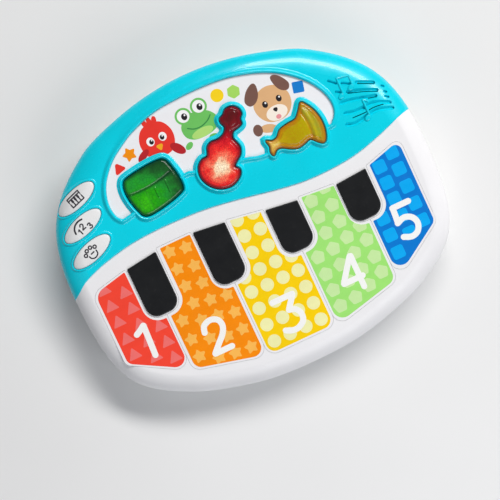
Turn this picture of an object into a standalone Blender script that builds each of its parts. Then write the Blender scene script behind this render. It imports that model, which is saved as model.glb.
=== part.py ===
"""Toy electronic keyboard for a small child, built as an assembly of separate parts.

Five wide hinged keys, four fixed black inserts, three light-up instrument buttons, three mode buttons,
a speaker, and a battery bay under the case. All sizes are millimetres; the meshes are made in metres.
The origin is on the table, under the middle of the case. +X runs from the low keys to the high ones,
+Y to the back and +Z up.
"""

import math

import bpy
from mathutils import Vector

MM = 0.001
GAP = 0.3  # between pieces that touch
FIT = 0.4  # round a button or a key, so that it slides

CASE_SIDES = 48
ARC_STEP = 4.0  # corner radius that adds one more facet to a rounded corner

# Case: upright walls, a rounded shoulder and a flat deck that rises to the back
CASE_HALF = [
    (0, -118), (40, -115.5), (80, -105.5), (100, -97), (118, -86.5), (131, -74), (139, -57), (143, -36),
    (144.5, -8), (143.5, 20), (139, 43), (131, 61), (118, 77), (100, 91.5), (80, 102.5), (40, 114), (0, 118),
]
WALL = 2.5
WALL_LEAN = 0.8
SHOULDER_HIGH = 11.0
SHOULDER_STEPS = 4
TEAL_SHOULDER = 18.0  # width of the teal cover's rounded shoulder
WHITE_SHOULDER = 14.0
DECK_MIDDLE = 42.0
DECK_SLOPE = 0.0758
TEAL_STEP = 1.2  # the teal cover stands this far above the white deck
SPLIT_Z = 14.0  # where the top covers meet the bottom cover
BASE_Z = 1.5
BASE_EDGE = 4.0  # how far the underside is drawn in
FLOOR_Z = 4.0
TOP_Z = 80.0  # above everything, for cutters
FAR = 200.0  # beyond the case, for cutters
ABOVE = 5.0  # how far a cutter reaches above the deck
SEAM = [
    (-165, -6), (-144.5, 0), (-130, 9), (-120, 13), (-110, 16), (-90, 20), (-70, 21.6), (-50, 21.6),
    (-30, 20.6), (-10, 18), (10, 14.4), (30, 10.6), (50, 8), (70, 7.8), (90, 9.6), (110, 14.4), (130, 21),
    (144, 25), (165, 33),
]
TEAL_BOSSES = [(-92, 88), (92, 88), (-134, 14), (134, 32)]
WHITE_BOSSES = [(-135, -30), (135, -30), (-60, -103.5), (60, -103.5)]
BOSS_RADIUS = 4.0
TOWER_RADIUS = 4.6
SCREW_RADIUS = 1.3
SCREW_HOLE = 1.7
HEAD_RADIUS = 2.9
HEAD_HEIGHT = 2.0
HEAD_BORE = 3.3
HEAD_SEAT_Z = 10.5
SCREW_TOP_Z = 24.0
FEET = [(-100, -60), (100, -60), (-104, 62), (104, 62)]
FOOT_RADIUS = 7.0
FOOT_EDGE = 0.8
FOOT_TOP_Z = 2.7
POST_RADIUS = 3.0  # posts that carry the boards and the key frame
POST_TIP_RADIUS = 1.3
POST_TIP_HEIGHT = 1.2
POST_HOLE = 1.7

# Keys
KEY_THICK = 2.6
BLACK_X = [-86.3, -30.45, 25.45, 81.3]
BLACK_HALF = 12.35
BLACK_FRONT = -37.0
BLACK_CORNER = 9.0
BLACK_REAR = [(4.5, 7.5), (8.5, 5.5), (0.8, -2.5), (-4.2, -2.5)]  # left and right end of the rear edge
BLACK_RISE = 1.5
BLACK_SINK = 0.9
BLACK_EDGE = 0.7
PEG_Y = (-26, -6)  # pegs that hold a black key in its finger
PEG_RADIUS = 1.4
PEG_HOLE = 1.8
PEG_LOW_Z = 33.0
FINGER_RIM = 1.1  # white edge of the finger that a black key sits in
KEY_SPLIT = 0.5  # gap between neighbouring keys
KEY_OUTER_X = (-130.0, 125.8)
KEY_FRONT = [(-59.7, -84.8), (-84.9, -98.8), (-99.4, -99.4), (-101.1, -88.2), (-89.0, -60.5)]
KEY_REAR = [(-1.3, 4.9), (9.7, 9.7), (6.8, 2.0), (-0.6, -2.8), (-0.98, 7.7)]
KEY_COLOURS = ["red_key", "orange_key", "yellow_key", "green_key", "blue_key"]
ARM_FRONT = -70.0
ARM_INSET = (4.0, 2.0)  # how far an arm stays behind the plate's front edge and before its rear edge
ARM_DROP = 3.0
ARM_HALF = 1.4
ARM_END_HALF = 3.2
ROOT = 0.6  # how deep a rib, a hook or a plunger runs into the plate that carries it
KEY_ARMS = [(-120, -108), (-65, -52), (-9, 4), (47, 60), (104, 117)]
KEY_DOME_X = [-109, -58, -3, 53.5, 106]
KEY_STOP_X = [-102, -50, -3, 50, 98]
KEY_DOME_Y = -50.0
KEY_PLUNGER_HALF = 3.5
HOOK_REACH = 2.4  # how far a stop hook runs under the cover in front of the key
HOOK_NECK = (3.0, 7.0)
HOOK_THICK = 1.9
HOOK_HALF = 2.5
PIVOT_Y = 15.0
PIVOT_Z = 35.0
ROD_RADIUS = 1.5
ROD_HALF = 128.5
ROD_HOLE = 1.8
HUB_RADIUS = 3.6
HUB_OVERHANG = 3.0

# Picture panel and buttons, all on the teal cover
PANEL = [
    (-79, 40.6), (-33, 50.6), (-20, 49.4), (16, 42.4), (31, 39), (79, 37.9), (86, 40), (89.9, 45.4), (90.8, 53),
    (88, 63),
    (80, 75), (66, 87), (50, 95), (30, 100.6), (10, 102.6), (-10, 102.6), (-30, 101), (-50, 95), (-62, 89),
    (-74, 81), (-84, 70), (-89, 59), (-90, 49), (-87, 41),
]
PANEL_DEPTH = 1.4
PANEL_THICK = 0.8
RIM_WIDTH = 2.5
RIM_RISE = 1.0
DRUM = [
    (-75.5, 57), (-75, 49), (-72.5, 40), (-70, 35), (-64, 33.4), (-50, 35.4), (-38, 38.8), (-34.8, 42),
    (-34.4, 50), (-36, 59), (-38.4, 66), (-43, 68), (-55, 67.8), (-70, 65.6), (-74, 63),
]
VIOLIN = [
    (-2.4, 27.4), (3.6, 29.2), (7.8, 32.8), (8.8, 36.8), (6.6, 39.8), (9.8, 42.8), (13.8, 46), (15.8, 51), (15, 55.4),
    (13.8, 59.6), (16.2, 63.4), (20.4, 64.4), (24, 66), (24.6, 69.8), (27.2, 73), (26.6, 77.6), (22.8, 80.8),
    (17.4, 80.8), (14.2, 77.8), (10.6, 76), (10.4, 72.6), (11.6, 69.2), (8.6, 65), (3.4, 63.2), (-2.4, 63.4),
    (-6.4, 61.2), (-7.8, 57.8), (-9.6, 55), (-14, 54.4), (-18.4, 50.8), (-20.2, 44.6), (-19, 38.6), (-15.4, 33),
    (-9.6, 28.8),
]
HORN = [
    (35, 47), (39.2, 45.2), (43.4, 46), (47.8, 50.2), (55, 51.8), (61.5, 52.6), (66, 57.2), (70.2, 62),
    (73.8, 58.5),
    (77, 52.5), (78.8, 45), (78.6, 37), (76.4, 30), (73.6, 27.6), (70, 30), (65.6, 34.2), (60.6, 33), (55, 32),
    (49.4, 34), (43.5, 37.4), (39.5, 37.4), (36, 34.6), (34.6, 38), (35.8, 42),
]
BEZEL_WIDTH = {"drum_button": 3.0, "violin_button": 2.5, "horn_button": 2.3}
BEZEL_RISE = 1.5
BUTTON_RISE = 3.8
BUTTON_EDGE = 1.0
FLANGE = 1.6
FLANGE_THICK = 1.5
PLUNGER_RADIUS = 3.2
BUTTON_PLUNGERS = {"drum_button": (-55, 51), "violin_button": (-3, 47), "horn_button": (57, 42)}
MODE_BUTTONS = {
    "mode_button_piano": (-110.7, 67.7),
    "mode_button_numbers": (-114.6, 47.5),
    "mode_button_animal": (-116.6, 27.5),
}
MODE_HALF_LONG = 17.6
MODE_HALF_SHORT = 7.0
MODE_TURN = math.radians(18)
MODE_RISE = 0.9
MODE_DEPTH = 7.0
MODE_TABS = [(14, 19.4, -2.5, 1.0), (0, 8, -9.2, -4)]  # stop tabs: left, right, front and back along the oval

# Speaker and its grille
SPEAKER_X = 112.0
SPEAKER_Y = 46.0
SPEAKER_RADIUS = 19.0
SPEAKER_RIM_Z = 39.0
SPEAKER_WALL = 2.0
SPEAKER_WALL_Z = 35.0
SLOT_WIDTH = 1.7
SLOTS = [
    [(92, 33.6), (100, 31), (111, 30.9), (122, 32.8), (132.6, 29.6)],
    [(94.4, 42), (101.4, 39.6), (109.4, 38.2), (119, 38.8), (132.5, 34.1)],
    [(96.2, 49.5), (103.3, 48.1), (115, 46.4), (124, 43.6), (132.4, 38.1)],
    [(104.2, 53.6), (116.2, 49.8), (127.3, 46.5)],
    [(113.1, 59.8), (127.2, 53)],
    [(94.9, 69.5), (101, 64.6)],
]

# The speaker's turned profiles: (radius, height above its rim)
BASKET = [(7, -11.5), (9, -11.5), (16.5, -1.5), (SPEAKER_RADIUS, -1.5), (SPEAKER_RADIUS, 0), (17.2, 0),
          (15.6, -1.2), (8.2, -10.3), (7, -10.3)]
CONE = [(4, -8.6), (14.4, -1.6), (15.4, -0.6), (14, -0.6), (4, -7.2)]
MAGNET = [(11, -17.8), (11, -11.5 - GAP)]

# Electronics
BOARD_Z = 27.0
BOARD_THICK = 1.6
BOARD_TOP = BOARD_Z + BOARD_THICK
MAIN_BOARD = (-82, 86, 27, 80)  # left, right, front and back
MODE_BOARD = [(-128, 20), (-98, 20), (-96, 72), (-112, 74), (-124, 60)]
MAIN_BOARD_POSTS = [(-72, 36), (-72, 74), (76, 36), (76, 74)]
MODE_BOARD_POSTS = [(-104, 32), (-102, 56)]
CHIP = (14, 28, 62, 74)
CHIP_THICK = 2.3
DOME_SHEET = 1.2
DOME_HEIGHT = 3.4
DOME_BASE = BOARD_TOP + GAP
DOME_TOP = DOME_BASE + DOME_SHEET + DOME_HEIGHT
INSTRUMENT_PAD = [(-62, 43), (64, 35), (64, 50), (-62, 58)]
MODE_PAD = [(-122, 21), (-111, 21), (-104, 70), (-116, 70)]
LEDS = {"led_drum": (-60, 37), "led_violin": (-6, 34), "led_horn": (72, 44)}
LED_PROFILE = [(2.5, DOME_BASE), (2.5, DOME_TOP - 2), (1.6, DOME_TOP - 0.6), (0.6, DOME_TOP)]

# Key frame, its posts and the key board with the rubber strip on it
FRAME_POSTS = [(-95, -15), (95, -15), (-45, -82), (45, -82)]
FRAME_LOOP = [(-70, -92), (70, -92), (122, -62), (128, -45), (128, 21), (-128, 21), (-128, -45), (-122, -62)]
FRAME_Z = 18.0
FRAME_THICK = 2.4
FRAME_TOP = FRAME_Z + FRAME_THICK
EAR_END_X = 126.5
EAR_HALF = 1.2
EAR_FOOT_HALF = 6.0
EAR_TIP_HALF = 3.5
KEY_BOARD_HALF = (118.0, 12.0)
KEY_BOARD_TOP = FRAME_TOP + GAP + BOARD_THICK
KEY_STRIP_Y = (-58, -44)
DOME_BASE_KEY = KEY_BOARD_TOP + GAP
DOME_TOP_KEY = DOME_BASE_KEY + DOME_SHEET + DOME_HEIGHT
CABLE_X = (-8, 2)
CABLE_Y = (-42, 30)
CABLE_THICK = 0.5
CABLE_TURN = 3.0

# Battery bay for three AA cells that lie front to back
CELL_RADIUS = 7.1
CELL_LENGTH = 50.5
CELL_PITCH = 15.4
TIP_RADIUS = 2.7
TIP_LENGTH = 1.5
CONTACT_HALF = 5.0
CONTACT_THICK = 0.6
SPRING_HALF = 3.0
SPRING_LEAF = [(GAP, -5), (GAP + 0.5, -5), (GAP + 0.5, 4.4), (2.6, -1), (2.9, -0.4), (GAP + 0.5, 5), (GAP, 5)]
BAY_HALF = 23.5
BAY_FRONT = 30.5
BAY_REAR = 87.3
BAY_TOP_Z = 19.4
BAY_WALL = 2.0
LEDGE = 3.0  # how far the frame round the door reaches past it
LEDGE_THICK = 2.5
DOOR_HALF = 26.4
DOOR_LAP = 1.6
DOOR_EAR_HALF = 7.0
DOOR_EAR_REACH = 5.5
DOOR_SCREW_Y = 95.0
DOOR_SCREW = [(2.6, 0.5), (2.6, BASE_Z - GAP), (SCREW_RADIUS, BASE_Z - GAP), (SCREW_RADIUS, 12)]
DOOR_POST_RADIUS = 4.6
DOOR_POST_TOP_Z = 16.0
GRIP_Y = (38, 42, 46)  # grip grooves of the door
GRIP_HALF = 9.0
GRIP_WIDTH = 1.2
GRIP_DEPTH = 0.5

# Power switch, reached through a slot in the underside
SWITCH_SLOT = (52.0, 66.0, 58.0, 63.0)  # left, right, front, back
SWITCH_Z = 8.0
SWITCH_HEIGHT = 5.0
SWITCH_FEET = (4.0, 8.0)  # from and to, beyond the slot's ends
KNOB_LENGTH = 5.2
KNOB_LOW_Z = 0.6
KNOB_SHUTTER = (3.4, 9.4, 2.0)  # plate that keeps the slot covered: to the left, to the right and to both sides
KNOB_SHUTTER_THICK = 1.1


# ---- outlines ---------------------------------------------------------------------------------------------


def smooth(points, steps):
    """A closed loop on a smooth curve through the points, with steps points to each span."""
    loop = []
    for i in range(len(points)):
        before, start, end, after = (Vector(points[(i + k) % len(points)]) for k in (-1, 0, 1, 2))
        for step in range(steps):
            t = step / steps
            loop.append(0.5 * (
                2 * start + (end - before) * t
                + (2 * before - 5 * start + 4 * end - after) * t**2
                + (3 * start - before - 3 * end + after) * t**3
            ))
    return counterclockwise(loop)


def counterclockwise(loop):
    area = sum(a[0] * b[1] - b[0] * a[1] for a, b in zip(loop, loop[1:] + loop[:1]))
    return list(loop) if area > 0 else list(reversed(loop))


def rounded(corners):
    """A loop whose corners (x, y, radius) are each an arc that touches both sides."""
    loop = []
    for i, (x, y, radius) in enumerate(corners):
        steps = 1 + round(radius / ARC_STEP)
        corner = Vector((x, y))
        back = (Vector(corners[i - 1][:2]) - corner).normalized()
        ahead = (Vector(corners[(i + 1) % len(corners)][:2]) - corner).normalized()
        half = back.angle(ahead) / 2
        centre = corner + (back + ahead).normalized() * radius / math.sin(half)
        first = corner + back * radius / math.tan(half) - centre
        last = corner + ahead * radius / math.tan(half) - centre
        turn = first.angle_signed(last)
        angle = math.atan2(first.y, first.x)
        for step in range(steps + 1):
            a = angle - turn * step / steps
            loop.append(centre + radius * Vector((math.cos(a), math.sin(a))))
    return counterclockwise(loop)


def grown(loop, distance):
    """The loop with every side moved outward by distance, or inward if it is negative."""
    result = []
    for i, point in enumerate(loop):
        point = Vector(point)
        side_in = point - Vector(loop[i - 1])
        side_out = Vector(loop[(i + 1) % len(loop)]) - point
        normal_in = Vector((side_in.y, -side_in.x)).normalized()
        normal_out = Vector((side_out.y, -side_out.x)).normalized()
        result.append(point + (normal_in + normal_out) * distance / (1 + normal_in.dot(normal_out)))
    return result


def evenly(loop, count):
    """The loop again, with count points spaced evenly along it."""
    lengths = [0.0]
    for a, b in zip(loop, loop[1:] + loop[:1]):
        lengths.append(lengths[-1] + (b - a).length)
    result = []
    side = 0
    for i in range(count):
        distance = lengths[-1] * i / count
        while lengths[side + 1] <= distance:
            side += 1
        share = (distance - lengths[side]) / (lengths[side + 1] - lengths[side])
        result.append(loop[side].lerp(loop[(side + 1) % len(loop)], share))
    return result


def band(line, width):
    """The outline of a strip of the given width along an open line."""
    left, right = [], []
    for i, point in enumerate(line):
        along = Vector(line[min(i + 1, len(line) - 1)]) - Vector(line[max(i - 1, 0)])
        side = Vector((-along.y, along.x)).normalized() * width / 2
        left.append(Vector(point) + side)
        right.append(Vector(point) - side)
    return counterclockwise(right + left[::-1])


def ellipse(centre, half_long, half_short, turn, sides):
    loop = []
    for i in range(sides):
        a = math.tau * i / sides
        x, y = half_long * math.cos(a), half_short * math.sin(a)
        loop.append(local(centre, turn, x, y))
    return loop


def local(centre, turn, x, y):
    """The point (x, y) of a frame that stands at centre and is turned by turn."""
    return Vector((
        centre[0] + x * math.cos(turn) - y * math.sin(turn),
        centre[1] + x * math.sin(turn) + y * math.cos(turn),
    ))


def rectangle(left, right, front, back):
    return [(left, front), (right, front), (right, back), (left, back)]


def deck(rise):
    """A level that follows the sloping deck at a height above it."""
    return lambda y: DECK_MIDDLE + DECK_SLOPE * y + rise


def teal(rise):
    return deck(TEAL_STEP + rise)


# ---- solids -----------------------------------------------------------------------------------------------


def stack(rings):
    """A closed solid through rings of (x, y, z) points, the first and the last ring capped."""
    count = len(rings[0])
    points = [tuple(c * MM for c in point) for ring in rings for point in ring]
    faces = [tuple(reversed(range(count)))]
    for level in range(len(rings) - 1):
        low = level * count
        for i in range(count):
            j = (i + 1) % count
            faces.append((low + i, low + j, low + count + j, low + count + i))
    faces.append(tuple(range((len(rings) - 1) * count, len(rings) * count)))
    mesh = bpy.data.meshes.new("solid")
    mesh.from_pydata(points, [], faces)
    solid = bpy.data.objects.new("solid", mesh)
    bpy.context.collection.objects.link(solid)
    return solid


def ring(loop, level):
    """The loop at a level, which is a height or a function of y."""
    return [(x, y, level(y) if callable(level) else level) for x, y in loop]


def prism(loop, low, high):
    loop = counterclockwise([Vector(point) for point in loop])
    return stack([ring(loop, low), ring(loop, high)])


def box(left, right, front, back, low, high):
    return prism(rectangle(left, right, front, back), low, high)


def slab(profile, left, right):
    """A profile of (y, z) points, counterclockwise as seen from +X, extruded from left to right."""
    return stack([[(x, y, z) for y, z in profile] for x in (left, right)])


def turned(profile, place, axis="Z", sides=12):
    """A solid of revolution from (radius, height) points along an axis through place."""
    rings = []
    for radius, along in profile:
        circle = []
        for i in range(sides):
            a = math.tau * (i + 0.5) / sides
            u, v = radius * math.cos(a), radius * math.sin(a)
            offset = {"X": (along, u, v), "Y": (v, along, u), "Z": (u, v, along)}[axis]
            circle.append(tuple(p + o for p, o in zip(place, offset)))
        rings.append(circle)
    return stack(rings)


def cylinder(centre, radius, low, high, sides=12):
    return turned([(radius, low), (radius, high)], (centre[0], centre[1], 0), "Z", sides)


def combine(operation, body, *others):
    """Unites body with the others, or cuts or crosses it by them, and drops the others."""
    for other in others:
        change = body.modifiers.new(operation, "BOOLEAN")
        change.operation = operation
        change.solver = "EXACT"
        change.object = other
    shape = body.evaluated_get(bpy.context.evaluated_depsgraph_get())
    result = bpy.data.meshes.new_from_object(shape)
    body.modifiers.clear()
    body.data = result
    for other in others:
        bpy.data.objects.remove(other)
    return body


def unite(body, *others):
    return combine("UNION", body, *others)


def cut(body, *others):
    return combine("DIFFERENCE", body, *others)


def cross(body, *others):
    return combine("INTERSECT", body, *others)


# ---- materials and finishing ------------------------------------------------------------------------------

COLOURS = {  # colour, roughness, metallic
    "teal_plastic": ((0.0, 0.68, 0.83), 0.28, 0.0),
    "white_plastic": ((0.85, 0.85, 0.83), 0.3, 0.0),
    "base_plastic": ((0.80, 0.80, 0.78), 0.4, 0.0),
    "print_white": ((0.86, 0.89, 0.88), 0.4, 0.0),
    "green_clear": ((0.03, 0.42, 0.01), 0.12, 0.0),
    "red_clear": ((0.85, 0.04, 0.02), 0.12, 0.0),
    "amber_clear": ((0.60, 0.42, 0.01), 0.12, 0.0),
    "red_key": ((0.96, 0.07, 0.04), 0.35, 0.0),
    "orange_key": ((0.97, 0.26, 0.0), 0.35, 0.0),
    "yellow_key": ((1.0, 0.64, 0.0), 0.35, 0.0),
    "green_key": ((0.35, 0.79, 0.17), 0.35, 0.0),
    "blue_key": ((0.0, 0.19, 0.68), 0.35, 0.0),
    "black_plastic": ((0.015, 0.017, 0.016), 0.3, 0.0),
    "board_green": ((0.02, 0.16, 0.05), 0.5, 0.0),
    "chip_black": ((0.02, 0.02, 0.02), 0.5, 0.0),
    "grey_rubber": ((0.30, 0.31, 0.32), 0.7, 0.0),
    "foot_rubber": ((0.06, 0.07, 0.07), 0.8, 0.0),
    "frame_plastic": ((0.45, 0.46, 0.48), 0.5, 0.0),
    "steel": ((0.60, 0.61, 0.62), 0.3, 1.0),
    "nickel": ((0.68, 0.65, 0.58), 0.25, 1.0),
    "cell_jacket": ((0.10, 0.11, 0.13), 0.35, 0.0),
    "speaker_paper": ((0.05, 0.05, 0.05), 0.85, 0.0),
    "ferrite": ((0.10, 0.10, 0.11), 0.6, 0.0),
    "led_clear": ((0.85, 0.88, 0.90), 0.1, 0.0),
    "ribbon_grey": ((0.55, 0.56, 0.58), 0.5, 0.0),
}
SHARP = math.radians(35)


def material(name):
    found = bpy.data.materials.get(name)
    if found:
        return found
    colour, roughness, metallic = COLOURS[name]
    made = bpy.data.materials.new(name)
    made.use_nodes = True
    shader = made.node_tree.nodes["Principled BSDF"]
    shader.inputs["Base Color"].default_value = (*colour, 1.0)
    shader.inputs["Roughness"].default_value = roughness
    shader.inputs["Metallic"].default_value = metallic
    return made


def finish(solid, name, look, origin=(0, 0, 0)):
    """Names a finished part, colours it and puts its origin at the given point."""
    mesh = solid.data
    place = Vector(origin) * MM
    for vertex in mesh.vertices:
        vertex.co -= place
    solid.location = place
    solid.name = name
    mesh.name = name
    mesh.materials.clear()
    mesh.materials.append(material(look))
    mesh.shade_smooth()
    mesh.set_sharp_from_angle(angle=SHARP)
    return solid


# ---- case -------------------------------------------------------------------------------------------------

CASE = evenly(smooth(CASE_HALF + [(-x, y) for x, y in CASE_HALF[-2:0:-1]], 8), CASE_SIDES)


def case_form(wide, inset, rise, base):
    """The outer form of the top shell moved in by inset, its deck at rise and its walls down to base."""
    rings = [ring(grown(CASE, -inset - WALL_LEAN), base)]
    for step in range(SHOULDER_STEPS, -1, -1):
        share = math.sin(math.pi / 2 * step / SHOULDER_STEPS)
        drop = 1 - (1 - share**1.5) ** 0.55
        loop = grown(CASE, -inset - (wide - inset) * (1 - share))
        rings.append(ring(loop, deck(rise - (SHOULDER_HIGH - inset) * drop)))
    return stack(rings)


def top_shell(wide, rise, bosses, *inner_walls):
    """A hollow top shell whose screw bosses hang from its deck."""
    hollow = case_form(wide, WALL, rise - WALL, SPLIT_Z - ABOVE)
    pillars = [cylinder(place, BOSS_RADIUS, SPLIT_Z + GAP / 2, TOP_Z, 10) for place in bosses]
    cut(hollow, *pillars, *inner_walls)
    shell = cut(case_form(wide, 0, rise, SPLIT_Z + GAP / 2), hollow)
    return cut(shell, *[cylinder(place, SCREW_HOLE, 0, SCREW_TOP_Z + 2, 8) for place in bosses])


def beyond_seam(side, shift):
    """A tall block over all of the case on one side of the seam: +1 behind it, -1 in front of it."""
    line = [(x, y + shift) for x, y in SEAM]
    return prism(line + [(SEAM[-1][0], FAR * side), (SEAM[0][0], FAR * side)], 0, TOP_Z)


def instrument_outlines():
    return {"drum_button": smooth(DRUM, 2), "violin_button": smooth(VIOLIN, 1), "horn_button": smooth(HORN, 1)}


def make_upper_cover():
    place = (SPEAKER_X, SPEAKER_Y)
    speaker_wall = cut(
        cylinder(place, SPEAKER_RADIUS + SPEAKER_WALL, SPEAKER_WALL_Z, TOP_Z, 20),
        cylinder(place, SPEAKER_RADIUS + FIT, SPEAKER_WALL_Z - 1, TOP_Z + 1, 20),
    )
    cover = top_shell(TEAL_SHOULDER, TEAL_STEP, TEAL_BOSSES, speaker_wall)
    cut(cover, beyond_seam(-1, GAP / 2))
    panel = smooth(PANEL, 1)
    unite(cover, prism(grown(panel, RIM_WIDTH), teal(-1), teal(RIM_RISE)))
    cut(cover, prism(panel, teal(-PANEL_DEPTH), teal(ABOVE)))
    for name, loop in instrument_outlines().items():
        unite(cover, prism(grown(loop, BEZEL_WIDTH[name]), teal(-PANEL_DEPTH - 0.2), teal(BEZEL_RISE)))
    for loop in instrument_outlines().values():
        cut(cover, prism(grown(loop, FIT), teal(-3 * WALL), teal(ABOVE)))
    for place in MODE_BUTTONS.values():
        loop = ellipse(place, MODE_HALF_LONG + FIT, MODE_HALF_SHORT + FIT, MODE_TURN, 24)
        cut(cover, prism(loop, teal(-MODE_DEPTH - 2), teal(ABOVE)))
    cut(cover, *[prism(band(line, SLOT_WIDTH), teal(-2 * WALL - 1), teal(ABOVE)) for line in SLOTS])
    finish(cover, "upper_cover", "teal_plastic")


def make_keyboard_cover():
    cover = top_shell(WHITE_SHOULDER, 0, WHITE_BOSSES)
    cut(cover, beyond_seam(1, -GAP / 2))
    for loop in key_outlines():
        cut(cover, prism(grown(loop, FIT), deck(-2 * WALL - 1), deck(ABOVE)))
    for number, x in enumerate(BLACK_X):
        cut(cover, prism(grown(black_outline(number), GAP), deck(-BLACK_SINK - GAP), deck(ABOVE)))
        cut(cover, *[cylinder((x, y), PEG_HOLE, PEG_LOW_Z - 8, TOP_Z, 8) for y in PEG_Y])
    finish(cover, "keyboard_cover", "white_plastic")


def make_bottom_cover():
    outside = stack([
        ring(grown(CASE, -BASE_EDGE), BASE_Z),
        ring(grown(CASE, -BASE_EDGE / 2), BASE_Z + BASE_EDGE / 2),
        ring(grown(CASE, -WALL_LEAN), SPLIT_Z - GAP / 2),
    ])
    hollow = stack([
        ring(grown(CASE, -WALL - BASE_EDGE / 2), FLOOR_Z),
        ring(grown(CASE, -WALL - WALL_LEAN), SPLIT_Z + ABOVE),
    ])
    bosses = TEAL_BOSSES + WHITE_BOSSES
    cut(hollow, *[cylinder(place, TOWER_RADIUS, 0, SPLIT_Z - GAP / 2, 10) for place in bosses])
    cover = cut(outside, hollow)
    for place in bosses:
        cut(cover, cylinder(place, SCREW_HOLE, -1, SPLIT_Z + ABOVE, 8))
        cut(cover, cylinder(place, HEAD_BORE, -1, HEAD_SEAT_Z, 10))
    add_battery_bay(cover)
    for places, top in ((FRAME_POSTS, FRAME_Z), (MAIN_BOARD_POSTS, BOARD_Z), (MODE_BOARD_POSTS, BOARD_Z)):
        for place in places:
            unite(cover, cylinder(place, POST_RADIUS, FLOOR_Z - 1, top - GAP, 8))
            unite(cover, cylinder(place, POST_TIP_RADIUS, top - 1, top + POST_TIP_HEIGHT, 6))
    for place in FEET:
        cut(cover, cylinder(place, FOOT_RADIUS + GAP, -1, FOOT_TOP_Z + GAP, 16))
    left, right, front, back = SWITCH_SLOT
    near, far = SWITCH_FEET
    unite(cover, box(left - far, left - near, front, back, FLOOR_Z - 1, SWITCH_Z - GAP))
    unite(cover, box(right + near, right + far, front, back, FLOOR_Z - 1, SWITCH_Z - GAP))
    cut(cover, box(left, right, front, back, -1, FLOOR_Z + 1))
    finish(cover, "bottom_cover", "base_plastic")


def door_outline(margin):
    """The battery door: a rectangle with a rounded ear for its screw."""
    half = DOOR_HALF + margin
    front = BAY_FRONT - DOOR_LAP - margin
    back = BAY_REAR + DOOR_LAP + margin
    ear = DOOR_EAR_HALF + margin
    ear_back = DOOR_SCREW_Y + DOOR_EAR_REACH + margin
    return rounded([
        (-half, front, 2), (half, front, 2), (half, back, 2), (ear, back, 1), (ear, ear_back, 4),
        (-ear, ear_back, 4), (-ear, back, 1), (-half, back, 2),
    ])


def add_battery_bay(cover):
    low, high = FLOOR_Z - 1, FLOOR_Z + LEDGE_THICK
    side, edge = DOOR_HALF + LEDGE, DOOR_LAP + LEDGE
    ledge = box(-side, side, BAY_FRONT - edge, BAY_REAR + edge, low, high)
    side = BAY_HALF + BAY_WALL
    walls = box(-side, side, BAY_FRONT - BAY_WALL, BAY_REAR + BAY_WALL, FLOOR_Z, BAY_TOP_Z + BAY_WALL)
    side = DOOR_EAR_HALF + LEDGE
    ear_seat = box(-side, side, BAY_REAR + BAY_WALL, DOOR_SCREW_Y + DOOR_EAR_REACH + LEDGE, low, high)
    screw_post = cylinder((0, DOOR_SCREW_Y), DOOR_POST_RADIUS, low, DOOR_POST_TOP_Z, 12)
    unite(cover, ledge, walls, ear_seat, screw_post)
    cut(cover, box(-BAY_HALF, BAY_HALF, BAY_FRONT, BAY_REAR, -1, BAY_TOP_Z))
    cut(cover, prism(door_outline(FIT), -1, FLOOR_Z))
    cut(cover, cylinder((0, DOOR_SCREW_Y), SCREW_HOLE, -1, DOOR_POST_TOP_Z - 2, 10))


def make_battery_door():
    door = prism(door_outline(0), BASE_Z, FLOOR_Z - GAP)
    cut(door, cylinder((0, DOOR_SCREW_Y), SCREW_HOLE, 0, TOP_Z, 10))
    grooves = [box(-GRIP_HALF, GRIP_HALF, y, y + GRIP_WIDTH, 0, BASE_Z + GRIP_DEPTH) for y in GRIP_Y]
    finish(cut(door, *grooves), "battery_door", "base_plastic")
    finish(turned(DOOR_SCREW, (0, DOOR_SCREW_Y, 0), "Z", 10), "battery_door_screw", "steel")


def make_feet_and_screws():
    profile = [(FOOT_RADIUS - FOOT_EDGE, 0), (FOOT_RADIUS, FOOT_EDGE), (FOOT_RADIUS, FOOT_TOP_Z)]
    for number, (x, y) in enumerate(FEET, 1):
        finish(turned(profile, (x, y, 0), "Z", 16), f"foot_{number}", "foot_rubber")
    under_head = HEAD_SEAT_Z - GAP
    profile = [
        (HEAD_RADIUS, under_head - HEAD_HEIGHT), (HEAD_RADIUS, under_head), (SCREW_RADIUS, under_head),
        (SCREW_RADIUS, SCREW_TOP_Z),
    ]
    for number, (x, y) in enumerate(TEAL_BOSSES + WHITE_BOSSES, 1):
        finish(turned(profile, (x, y, 0), "Z", 8), f"case_screw_{number}", "steel")


# ---- keys -------------------------------------------------------------------------------------------------


def black_outline(number):
    x = BLACK_X[number]
    rear_left, rear_right = BLACK_REAR[number]
    return rounded([
        (x - BLACK_HALF, rear_left, 1), (x - BLACK_HALF, BLACK_FRONT, BLACK_CORNER),
        (x + BLACK_HALF, BLACK_FRONT, BLACK_CORNER), (x + BLACK_HALF, rear_right, 1),
    ])


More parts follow.
